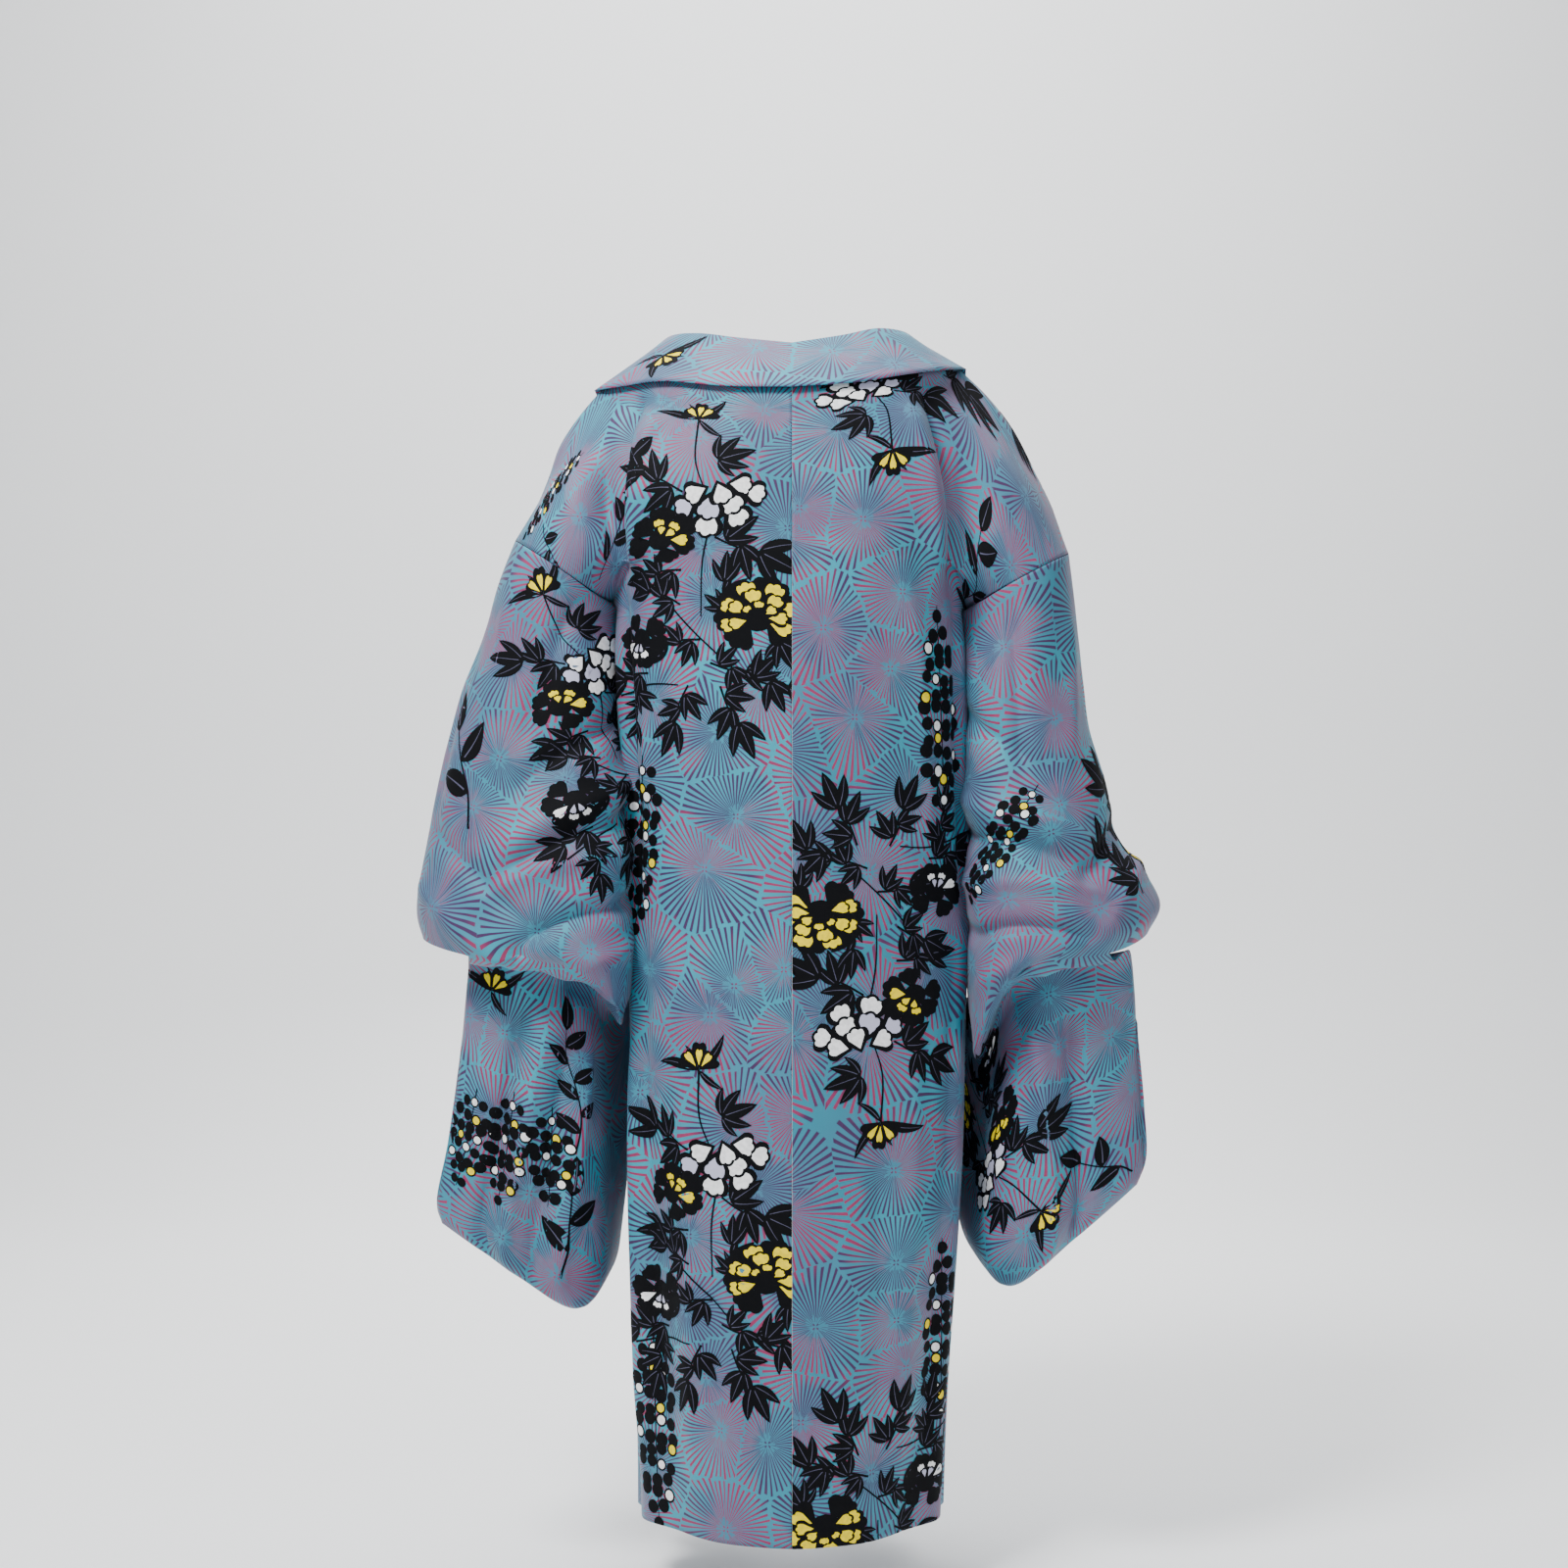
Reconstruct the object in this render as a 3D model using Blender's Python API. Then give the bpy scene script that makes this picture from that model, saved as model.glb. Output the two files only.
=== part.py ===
"""Haori jacket as it is worn: hollow cloth walls around a general figure.

Metres, +Z up, the wearer faces -Y and the wearer's left is +X.
The origin is at the height where the garment lies on the shoulders, midway
between them.  Every piece is a sheet given by a few named sections, made into
a wall of even thickness.
"""
import bmesh
import bpy
import numpy as np

# ---- driving sizes ---------------------------------------------------------
WALL = 0.0015              # cloth with its lining
SEAM_GAP = 0.0003          # space left between two pieces at a seam
ARMHOLE_EASE = 0.65        # share of a panel's width left alone by the armhole's edge
HEM_Z = -1.06              # height of the hem
SLEEVE_CLEAR = 0.0006      # from the armhole ring to the sleeve's edge, on top
UNDERARM_CLEAR = 0.0022    # added under the arm, where body and sleeve meet at an angle
COLLAR_LAYERS = 0.0036     # from one layer of the folded collar to the other
COLLAR_LAP = 0.006         # how far the outer layer laps over the panel
COLLAR_SEAM_GAP = 0.0010   # the collar bends away from the panels at its seam
CUFF_BACK = 54.0           # hand opening on the back, degrees round the sleeve
CUFF_FRONT = -50.0         # hand opening on the front
BAG_LAST_ROW = 0.955       # where the bag starts to close to its bottom seam
OPENING_SHARE = 0.30       # share of the bag's height that the hand opening takes

# ---- mesh steps ------------------------------------------------------------
BACK_NECK_STEPS = 11       # columns from the centre back to the neck point
SHOULDER_STEPS = 10        # columns from the neck point to the armhole
TOP_ROWS = 7               # rows from the shoulder fold to the armhole bottom
LOW_ROWS = 12              # rows from there to the hem
TUBE_ROWS = 11             # rows of the sleeve from the armhole to the wrist
LAYER_STEPS = 9            # columns of one layer of the sleeve bag
CUFF_STEPS = 8             # columns round the hand opening
BAG_ROWS = 9               # rows of the hanging bag
TUCK_ROWS = 3              # rows of the turned-in pouch

# ---- body sections below the armhole, one row for each height --------------
# left, right: half width.  back, front: depth.  roundness: 2 is an ellipse.
# seam, fold: distance from the middle to the collar's seam and to its fold.
BODY = {
    "z":           [-0.244, -0.30, -0.40, -0.55, -0.70, -0.82, -0.93, -1.06],
    "left":        [0.1600, 0.1610, 0.1545, 0.1505, 0.1500, 0.1475, 0.1440, 0.1420],
    "right":       [0.1540, 0.1590, 0.1610, 0.1625, 0.1610, 0.1550, 0.1460, 0.1405],
    "back":        [0.122, 0.121, 0.118, 0.116, 0.118, 0.120, 0.121, 0.121],
    "front":       [-0.128, -0.140, -0.146, -0.150, -0.154, -0.156, -0.158, -0.158],
    "back_round":  [2.30, 2.20, 2.10, 2.05, 2.00, 1.95, 1.85, 1.75],
    "front_round": [2.30, 2.45, 2.60, 2.70, 2.70, 2.70, 2.70, 2.70],
    "seam":        [0.110, 0.098, 0.092, 0.089, 0.088, 0.088, 0.088, 0.088],
    "gusset":      [0.018, 0.022, 0.026, 0.032, 0.038, 0.043, 0.048, 0.053],
    "pleat":       [0.000, 0.002, 0.006, 0.012, 0.017, 0.021, 0.024, 0.027],
}
COLLAR_WIDTH = 0.064
SECTION_HEIGHTS = (BODY["z"][0], -0.285, -0.35, -0.45, -0.60, -0.75, -0.87, -0.97, HEM_Z)

# ---- vertical folds in the body, one row for each --------------------------
# at: share of the way across the panel.  depth: in or out.  wide: half width
# as a share.  top, full: heights where it starts and reaches its depth.
BACK_FOLDS = {
    "at":    [0.30, 0.55, 0.74, 0.90],
    "depth": [0.0020, -0.0030, 0.0040, -0.0050],
    "wide":  [0.10, 0.09, 0.07, 0.06],
    "top":   [-0.60, -0.50, -0.35, -0.30],
    "full":  [-0.95, -0.90, -0.80, -0.70],
}
FRONT_FOLDS = {
    "at":    [0.10, 0.32, 0.54, 0.76],
    "depth": [0.006, -0.007, 0.008, -0.006],
    "wide":  [0.10, 0.10, 0.10, 0.10],
    "top":   [-0.20, -0.25, -0.22, -0.30],
    "full":  [-0.60, -0.70, -0.65, -0.80],
}

# ---- shoulders, one entry for each side ------------------------------------
# Rows run down the back from the shoulder fold.  crease: the deep fold where
# the arm meets the back; lobe: the cloth over the upper arm.
SHOULDER = {
    "left": {
        "stations": [0.0, 0.28, 0.52, 0.70, 0.86, 1.0],
        "share":    [0.25, 0.50, 0.75],
        "mid_y":    [0.112, 0.118, 0.121],
        "mid_z":    [-0.094, -0.137, -0.180],
        "blade_x":  [0.140, 0.142, 0.136],
        "blade_y":  [0.070, 0.090, 0.088],
        "blade_z":  [-0.083, -0.142, -0.190],
        "crease_x": [0.170, 0.163, 0.150],
        "crease_y": [0.052, 0.060, 0.071],
        "crease_z": [-0.098, -0.155, -0.202],
        "lobe_x":   [0.205, 0.182, 0.162],
        "lobe_y":   [0.060, 0.079, 0.065],
        "lobe_z":   [-0.135, -0.178, -0.213],
        "out": (0.2524, -0.178),
        "low": (0.162, -0.238),
        "crest": [(0.174, -0.038), (0.196, -0.0645), (0.2125, -0.090), (0.2227, -0.119), (0.236, -0.150)],
    },
    "right": {
        "stations": [0.0, 0.24, 0.44, 0.58, 0.80, 1.0],
        "share":    [0.25, 0.50, 0.75],
        "mid_y":    [0.112, 0.118, 0.121],
        "mid_z":    [-0.094, -0.137, -0.180],
        "blade_x":  [0.114, 0.128, 0.132],
        "blade_y":  [0.086, 0.093, 0.089],
        "blade_z":  [-0.078, -0.134, -0.188],
        "crease_x": [0.140, 0.149, 0.147],
        "crease_y": [0.064, 0.068, 0.072],
        "crease_z": [-0.084, -0.146, -0.203],
        "lobe_x":   [0.196, 0.180, 0.158],
        "lobe_y":   [0.062, 0.079, 0.065],
        "lobe_z":   [-0.130, -0.182, -0.216],
        "out": (0.2530, -0.190),
        "low": (0.158, -0.241),
        "crest": [(0.153, -0.019), (0.179, -0.044), (0.2015, -0.073), (0.2205, -0.109), (0.2400, -0.150)],
    },
}
ARMHOLE_BACK = 0.078       # depth of the armhole ring behind the arm
ARMHOLE_FRONT = 0.070      # and before it

# ---- back neck, from the centre to the neck point --------------------------
# seam: the line where the panel ends; fold: the upper edge of the collar.
NECK = {
    "left": {
        "seam_x": [0.0, 0.055, 0.112, 0.148, 0.174],
        "seam_y": [0.102, 0.097, 0.069, 0.035, 0.000],
        "seam_z": [-0.0530, -0.0515, -0.0420, -0.0400, -0.0380],
        "fold_x": [0.0, 0.050, 0.085, 0.106, 0.1236],
        "fold_y": [0.056, 0.048, 0.032, 0.016, -0.004],
        "fold_z": [-0.0085, -0.0020, 0.0050, 0.0065, -0.0020],
    },
    "right": {
        "seam_x": [0.0, 0.055, 0.100, 0.132, 0.153],
        "seam_y": [0.102, 0.097, 0.076, 0.042, 0.000],
        "seam_z": [-0.0530, -0.0480, -0.0370, -0.0270, -0.0190],
        "fold_x": [0.0, 0.046, 0.078, 0.100, 0.1130],
        "fold_y": [0.056, 0.049, 0.034, 0.015, -0.008],
        "fold_z": [-0.0085, 0.0000, 0.0090, 0.0095, 0.0050],
    },
}
# Front neckline between the neck point and the armhole level.
FRONT_NECK = {
    "share":  [0.25, 0.50, 0.75],
    "seam_x": [0.158, 0.140, 0.123],
    "seam_y": [-0.048, -0.084, -0.108],
    "seam_z": [-0.075, -0.122, -0.172],
    "fold_x": [0.106, 0.083, 0.063],
    "fold_y": [-0.052, -0.090, -0.115],
    "fold_z": [-0.036, -0.090, -0.150],
    "blade_x": [0.166, 0.156, 0.148],
    "blade_y": [-0.046, -0.074, -0.088],
    "blade_z": [-0.090, -0.140, -0.187],
    "crease_x": [0.176, 0.166, 0.158],
    "crease_y": [-0.044, -0.062, -0.062],
    "crease_z": [-0.108, -0.160, -0.208],
    "lobe_x": [0.207, 0.185, 0.168],
    "lobe_y": [-0.052, -0.072, -0.060],
    "lobe_z": [-0.139, -0.180, -0.218],
}

# ---- sleeves: rings across the arm, from the armhole to the wrist ----------
# out: the edge away from the body.  in: the edge beside the body.
# back, front: depth.  lift: how far the rim rises between its two ends.
SLEEVE = {
    "left": {
        "out_x": [0.2680, 0.2811, 0.3010, 0.3126, 0.3225, 0.3333, 0.3410, 0.3423, 0.3370],
        "out_z": [-0.218, -0.263, -0.310, -0.351, -0.393, -0.452, -0.495, -0.520, -0.540],
        "in_x":  [0.1660, 0.1630, 0.1575, 0.1515, 0.1475, 0.1455, 0.1450, 0.1465, 0.1505],
        "in_z":  [-0.262, -0.310, -0.362, -0.405, -0.452, -0.512, -0.556, -0.584, -0.609],
        "back":  [0.080, 0.083, 0.086, 0.090, 0.095, 0.101, 0.105, 0.106, 0.100],
        "front": [-0.072, -0.074, -0.076, -0.078, -0.080, -0.080, -0.078, -0.074, -0.070],
        "lift": 0.058,
        "front_lift": 0.035,
        "bag_z":     [0.0, 0.30, 0.60, 0.85, 1.0],
        "edge_x":    [0.2920, 0.2990, 0.3110, 0.3210, 0.3160],
        "edge_y":    [0.030, 0.030, 0.030, 0.030, 0.030],
        "edge_z":    [-0.566, -0.637, -0.724, -0.779, -0.797],
        "bend_x":    [0.2050, 0.2000, 0.1950, 0.1850, 0.1930],
        "bend_y":    [0.052, 0.052, 0.050, 0.048, 0.046],
        "bend_z":    [-0.575, -0.665, -0.760, -0.838, -0.878],
        "in_bag_x":  [0.1650, 0.1650, 0.1680, 0.1760, 0.1800],
        "in_bag_y":  [-0.050, -0.052, -0.055, -0.058, -0.060],
        "in_bag_z":  [-0.580, -0.665, -0.755, -0.828, -0.866],
    },
    "right": {
        "out_x": [0.2585, 0.2625, 0.2683, 0.2737, 0.2863, 0.2990, 0.3200, 0.3367, 0.3260],
        "out_z": [-0.234, -0.270, -0.310, -0.349, -0.392, -0.449, -0.477, -0.508, -0.533],
        "in_x":  [0.1600, 0.1600, 0.1595, 0.1600, 0.1605, 0.1605, 0.1605, 0.1615, 0.1630],
        "in_z":  [-0.274, -0.312, -0.355, -0.398, -0.448, -0.510, -0.555, -0.602, -0.640],
        "back":  [0.080, 0.083, 0.086, 0.090, 0.095, 0.101, 0.105, 0.106, 0.100],
        "front": [-0.072, -0.074, -0.076, -0.078, -0.080, -0.080, -0.078, -0.074, -0.070],
        "lift": 0.095,
        "front_lift": 0.078,
        "bag_z":     [0.0, 0.30, 0.60, 0.85, 1.0],
        "edge_x":    [0.3080, 0.3130, 0.3190, 0.3200, 0.3120],
        "edge_y":    [0.030, 0.030, 0.030, 0.030, 0.030],
        "edge_z":    [-0.555, -0.620, -0.690, -0.740, -0.762],
        "bend_x":    [0.2150, 0.2100, 0.2020, 0.1930, 0.1960],
        "bend_y":    [0.052, 0.052, 0.050, 0.048, 0.046],
        "bend_z":    [-0.565, -0.650, -0.740, -0.815, -0.858],
        "in_bag_x":  [0.1760, 0.1750, 0.1740, 0.1720, 0.1800],
        "in_bag_y":  [-0.050, -0.052, -0.055, -0.058, -0.060],
        "in_bag_z":  [-0.575, -0.655, -0.735, -0.800, -0.846],
    },
}
FRONT_LIFT_TURN = 1.9      # radians over which the front of the rim reaches its lift
BAG_BELOW_RIM = 0.016      # least height from the rim down to the bag's first row
BAG_HALF_DEPTH = 0.014     # half the space between the two layers of the bag
BAG_END_ROUND = 0.30       # share of the bag's width over which its edge rounds
BAG_BEND_RADIUS = 0.035    # how softly the bag turns beside the body

# The pouch over the wrist turns in under its rim, then up, then down as the bag.
TUCK = {
    "in": [0.25, 0.60, 0.88],      # share of the way from the rim to the bag
    "up": [-0.004, 0.006, 0.011],  # height above the straight way
}
TUCK_LEAST = 0.015         # below this way in, the cloth goes straight down

MATERIALS = {
    "body":   ("crepe_body", (0.10, 0.34, 0.42)),
    "sleeve": ("crepe_sleeve", (0.11, 0.36, 0.44)),
    "gusset": ("crepe_gusset", (0.09, 0.31, 0.39)),
    "collar": ("crepe_collar", (0.13, 0.36, 0.44)),
}


# ---- small helpers ---------------------------------------------------------
def smooth_step(value):
    """0 below 0, 1 above 1, smooth between."""
    value = np.clip(value, 0.0, 1.0)
    return value * value * (3.0 - 2.0 * value)


def curve_through(knots, rows, at):
    """Smooth curve through rows (one for each knot), read at the values in at."""
    knots = np.asarray(knots, float)
    rows = np.asarray(rows, float)
    at = np.atleast_1d(np.asarray(at, float))
    slopes = np.gradient(rows, knots, axis=0)
    index = np.clip(np.searchsorted(knots, at, side="right") - 1, 0, len(knots) - 2)
    span = knots[index + 1] - knots[index]
    share = (at - knots[index]) / span
    extra = (1,) * (rows.ndim - 1)
    share = share.reshape((-1,) + extra)
    span = span.reshape((-1,) + extra)
    start, end = rows[index], rows[index + 1]
    return ((2 * share**3 - 3 * share**2 + 1) * start
            + (share**3 - 2 * share**2 + share) * span * slopes[index]
            + (-2 * share**3 + 3 * share**2) * end
            + (share**3 - share**2) * span * slopes[index + 1])


def points(*columns):
    """Columns of x, y and z as an array of points."""
    return np.stack([np.asarray(column, float) for column in columns], axis=-1)


def along(line):
    """Running length along a line of points."""
    steps = np.linalg.norm(np.diff(line, axis=0), axis=1)
    return np.concatenate([[0.0], np.cumsum(steps)])


# ---- the body below the armhole --------------------------------------------
def body_value(name, height):
    """One column of the BODY table at a height."""
    return float(curve_through(-np.array(BODY["z"]), BODY[name], -height)[0])


def half_section(side, height):
    """Half the body at one height, seen from above, from centre back to centre front.

    Returns the points and, for each, the running length.
    """
    half = body_value(side, height)
    back, front = body_value("back", height), body_value("front", height)
    round_back, round_front = body_value("back_round", height), body_value("front_round", height)
    turn = np.linspace(0.0, np.pi / 2, 121)
    rear = np.stack([half * np.sin(turn) ** (2 / round_back),
                     back * np.cos(turn) ** (2 / round_back)], axis=1)
    fore = np.stack([half * np.cos(turn) ** (2 / round_front),
                     front * np.sin(turn) ** (2 / round_front)], axis=1)
    line = np.concatenate([rear, fore[1:]])
    return line, along(line)


def section_marks(side, height):
    """Running lengths to the back seam, the front seam and the collar seam."""
    line, length = half_section(side, height)
    side_point = length[120]
    gusset = body_value("gusset", height)
    back_end = side_point + 0.008
    front_end = float(np.interp(-body_value("seam", height), -line[120:, 0], length[120:]))
    return back_end, back_end + gusset, front_end


def on_section(side, height, lengths):
    """Points of the half section at the given running lengths, with outward normals."""
    line, length = half_section(side, height)
    step = 0.004
    spots = np.stack([np.interp(lengths, length, line[:, k]) for k in (0, 1)], axis=1)
    ahead = np.stack([np.interp(lengths + step, length, line[:, k]) for k in (0, 1)], axis=1)
    behind = np.stack([np.interp(lengths - step, length, line[:, k]) for k in (0, 1)], axis=1)
    tangent = ahead - behind
    tangent /= np.linalg.norm(tangent, axis=1)[:, None]
    normal = np.stack([-tangent[:, 1], tangent[:, 0]], axis=1)
    return spots, normal


def fold_offset(folds, across, height):
    """Sum of a panel's vertical folds at one height."""
    offset = np.zeros_like(across)
    for at, depth, wide, top, full in zip(*(folds[k] for k in ("at", "depth", "wide", "top", "full"))):
        grown = smooth_step((top - height) / (top - full))
        offset += depth * grown * np.exp(-((across - at) / wide) ** 2)
    return offset


def section_row(side, height, start, end, across, folds=None):
    """A row of points on the body at one height, between two running lengths."""
    lengths = start + (end - start) * across
    spots, normal = on_section(side, height, lengths)
    if folds is not None:
        spots = spots + normal * fold_offset(folds, across, height)[:, None]
    back_end, front_start, _ = section_marks(side, height)
    middle = 0.5 * (back_end + front_start)
    reach = np.abs(lengths - middle) / 0.032
    tucked = body_value("pleat", height) * np.clip(1 - reach, 0, 1) ** 1.0
    spots = spots - normal * tucked[:, None]
    return points(spots[:, 0], spots[:, 1], np.full(len(spots), height))


# ---- the armhole and the shoulder ------------------------------------------
def armhole_ring(side, angle):
    """Point of the armhole seam; 0 is the outer edge, 180 the armhole bottom.

    Positive angles run down the back of the arm, negative ones down the front.
    """
    data = SHOULDER[side]
    angle = np.radians(np.asarray(angle, float))
    share = 0.5 * (1 - np.cos(angle))
    depth = np.where(angle > 0, ARMHOLE_BACK, ARMHOLE_FRONT)
    x = data["out"][0] + (data["low"][0] - data["out"][0]) * share
    z = data["out"][1] + (data["low"][1] - data["out"][1]) * share
    return points(x, depth * np.sin(angle), z)


def shoulder_fold(side, across):
    """The fold over the shoulder, from the neck point (0) to the armhole (1)."""
    data = SHOULDER[side]
    line = np.array([(x, 0.0, z) for x, z in data["crest"]] + [(data["out"][0], 0.0, data["out"][1])])
    length = along(line)
    return curve_through(length / length[-1], line, across)


def back_neck(side, which, across):
    """The back neckline (which is seam or fold) from the centre (0) to the neck point (1)."""
    data = NECK[side]
    line = points(data[which + "_x"], data[which + "_y"], data[which + "_z"])
    length = along(line)
    return curve_through(length / length[-1], line, across)


def on_armhole(side, sheet, across, rows, whole_turn):
    """Bring the armhole edge of a panel onto the ring, easing off inside the panel."""
    ease = smooth_step((across - ARMHOLE_EASE) / (1 - ARMHOLE_EASE))[:, None]
    for row in np.flatnonzero(rows < 1.0):
        miss = armhole_ring(side, whole_turn * rows[row]) - sheet[row, -1]
        sheet[row] += miss * ease
    return sheet


def back_panel(side, across, rows):
    """The back half of a body panel as rows of points.

    across runs from the centre back (0) to the side (1).  rows holds the
    distances down: 0 is the shoulder, 1 the armhole bottom, 2 the hem.
    """
    data = SHOULDER[side]
    neck_share = BACK_NECK_STEPS / (BACK_NECK_STEPS + SHOULDER_STEPS)
    neck_part = back_neck(side, "seam", np.clip(across / neck_share, 0, 1))
    arm_part = shoulder_fold(side, np.clip((across - neck_share) / (1 - neck_share), 0, 1))
    top = np.where((across <= neck_share)[:, None], neck_part, arm_part)
    keys, knots = [top], [0.0]
    for k, share in enumerate(data["share"]):
        mid = (0.0, data["mid_y"][k], data["mid_z"][k])
        blade = (data["blade_x"][k], data["blade_y"][k], data["blade_z"][k])
        half = (0.58 * blade[0], 0.5 * (mid[1] + blade[1]) + 0.010, 0.5 * (mid[2] + blade[2]))
        crease = (data["crease_x"][k], data["crease_y"][k], data["crease_z"][k])
        lobe = (data["lobe_x"][k], data["lobe_y"][k], data["lobe_z"][k])
        edge = armhole_ring(side, 180.0 * share)
        line = np.array([mid, half, blade, crease, lobe, tuple(edge)])
        keys.append(curve_through(data["stations"], line, across))
        knots.append(share)
    for height in SECTION_HEIGHTS:
        back_end = section_marks(side, height)[0]
        keys.append(section_row(side, height, 0.0, back_end, across, BACK_FOLDS))
        knots.append(1.0 + (BODY["z"][0] - height) / (BODY["z"][0] - HEM_Z))
    return on_armhole(side, curve_through(knots, np.array(keys), rows), across, rows, 180.0)


def front_panel(side, across, rows):
    """The front half, from the collar seam (0) to the side (1); rows as for the back."""
    data = FRONT_NECK
    keys, knots = [shoulder_fold(side, across)], [0.0]
    stations = [0.0, 0.30, 0.52, 0.76, 1.0]
    for k, share in enumerate(data["share"]):
        line = [tuple(data[name + axis][k] for axis in ("_x", "_y", "_z"))
                for name in ("seam", "blade", "crease", "lobe")]
        line.append(tuple(armhole_ring(side, -180.0 * share)))
        keys.append(curve_through(stations, np.array(line), across))
        knots.append(share)
    for height in SECTION_HEIGHTS:
        _, front_start, front_end = section_marks(side, height)
        keys.append(section_row(side, height, front_end, front_start, across, FRONT_FOLDS))
        knots.append(1.0 + (BODY["z"][0] - height) / (BODY["z"][0] - HEM_Z))
    return on_armhole(side, curve_through(knots, np.array(keys), rows), across, rows, -180.0)


def gusset_panel(side, across, rows):
    """The gusset, from the back seam (0) to the front seam (1); rows 1 to 2."""
    keys, knots = [], []
    for height in SECTION_HEIGHTS:
        back_end, front_start, _ = section_marks(side, height)
        keys.append(section_row(side, height, back_end, front_start, across))
        knots.append(1.0 + (BODY["z"][0] - height) / (BODY["z"][0] - HEM_Z))
    return curve_through(knots, np.array(keys), rows)


def panel_rows():
    """Rows from the shoulder (0) by the armhole bottom (1) to the hem (2)."""
    top = np.linspace(0.0, 1.0, TOP_ROWS + 1)
    low = np.linspace(1.0, 2.0, LOW_ROWS + 1)[1:]
    return np.concatenate([top, low])


# ---- the sleeve ------------------------------------------------------------
def sleeve_ring(side, row, angles):
    """One ring of the sleeve: row 0 is the armhole, 1 the rim over the wrist."""
    data, hole = SLEEVE[side], SHOULDER[side]
    names = ("out_x", "out_z", "in_x", "in_z", "back", "front")
    first = (hole["out"][0], hole["out"][1], hole["low"][0], hole["low"][1],
             ARMHOLE_BACK, -ARMHOLE_FRONT)
    table = np.array([first] + list(zip(*(data[name] for name in names))))
    knots = np.linspace(0.0, 1.0, len(table))
    out_x, out_z, in_x, in_z, back, front = curve_through(knots, table, row)[0]
    angles = np.radians(angles)
    haste = np.where(angles > 0, 1 + 0.2 * smooth_step(row * 3), 1.0)
    share = 0.5 * (1 - np.cos(angles * haste))
    depth = np.where(angles > 0, back, -front)
    lift = data["lift"] * share**1.5 * (1 - share**8) * row**5
    lift = np.where(angles > 0, lift, data["front_lift"] * row**4 * smooth_step(-angles / FRONT_LIFT_TURN))
    x = out_x + (in_x - out_x) * share
    z = out_z + (in_z - out_z) * share + lift
    return points(x, depth * np.sin(angles), z)


def bag_line(side, drop, across):
    """The middle line of the bag at one drop (0 top, 1 bottom), from its outer edge inward.

    Returns the points and the horizontal normals that point to the back layer.
    """
    data = SLEEVE[side]
    names = [a + b for a in ("edge", "bend", "in_bag") for b in ("_x", "_y", "_z")]
    row = curve_through(data["bag_z"], list(zip(*(data[name] for name in names))), drop)[0]
    edge, bend, inner = row[0:3], row[3:6], row[6:9]
    reach = BAG_BEND_RADIUS / np.linalg.norm(edge - bend)
    reach_in = BAG_BEND_RADIUS / np.linalg.norm(inner - bend)
    start, stop = bend + (edge - bend) * reach, bend + (inner - bend) * reach_in
    arc = np.linspace(0, 1, 13)[:, None]
    corner = (1 - arc) ** 2 * start + 2 * arc * (1 - arc) * bend + arc**2 * stop
    line = np.concatenate([edge[None], corner, inner[None]])
    length = along(line)
    where = np.asarray(across) * length[-1]
    read = np.stack([np.interp(where, length, line[:, k]) for k in range(3)], axis=1)
    ahead = np.stack([np.interp(where + 0.006, length, line[:, k]) for k in (0, 1)], axis=1)
    behind = np.stack([np.interp(where - 0.006, length, line[:, k]) for k in (0, 1)], axis=1)
    tangent = ahead - behind
    tangent /= np.linalg.norm(tangent, axis=1)[:, None]
    normal = np.stack([tangent[:, 1], -tangent[:, 0]], axis=1)
    return read, normal


def bag_layer(side, drop, across, sign):
    """One layer of the bag (sign 1 back, -1 front) at one drop."""
    line, normal = bag_line(side, drop, across)
    rounded = np.sqrt(1 - (1 - np.clip(across / BAG_END_ROUND, 0, 1)) ** 2)
    closing = np.sqrt(np.clip(1 - (np.clip((drop - 0.85) / 0.15, 0, 1)) ** 2, 0, 1))
    half = BAG_HALF_DEPTH * rounded * closing
    line[:, :2] += sign * normal * half[:, None]
    return line


def hanging_back(side, drop, across, rim):
    """The back layer of the bag, which starts below the rim at every column."""
    layer = bag_layer(side, drop, across, 1)
    first = bag_layer(side, 0.0, across, 1)[:, 2]
    last = bag_layer(side, 1.0, across, 1)[:, 2]
    start = np.minimum(first, rim[:, 2] - BAG_BELOW_RIM)
    for _ in range(3):
        start[1:-1] = 0.25 * start[:-2] + 0.5 * start[1:-1] + 0.25 * start[2:]
    layer[:, 2] = last + (layer[:, 2] - last) * (last - start) / (last - first)
    return layer


def hanging_front(side, drop, across, rim):
    """The front layer of the bag: it hangs from the rim and closes on the back layer."""
    layer = bag_layer(side, drop, across, -1)
    reach = OPENING_SHARE + 0.5 * smooth_step(across / 0.5)
    joined = smooth_step(drop / reach)[:, None]
    layer[:, :2] = rim[:, :2] + (layer[:, :2] - rim[:, :2]) * joined
    return layer


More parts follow.
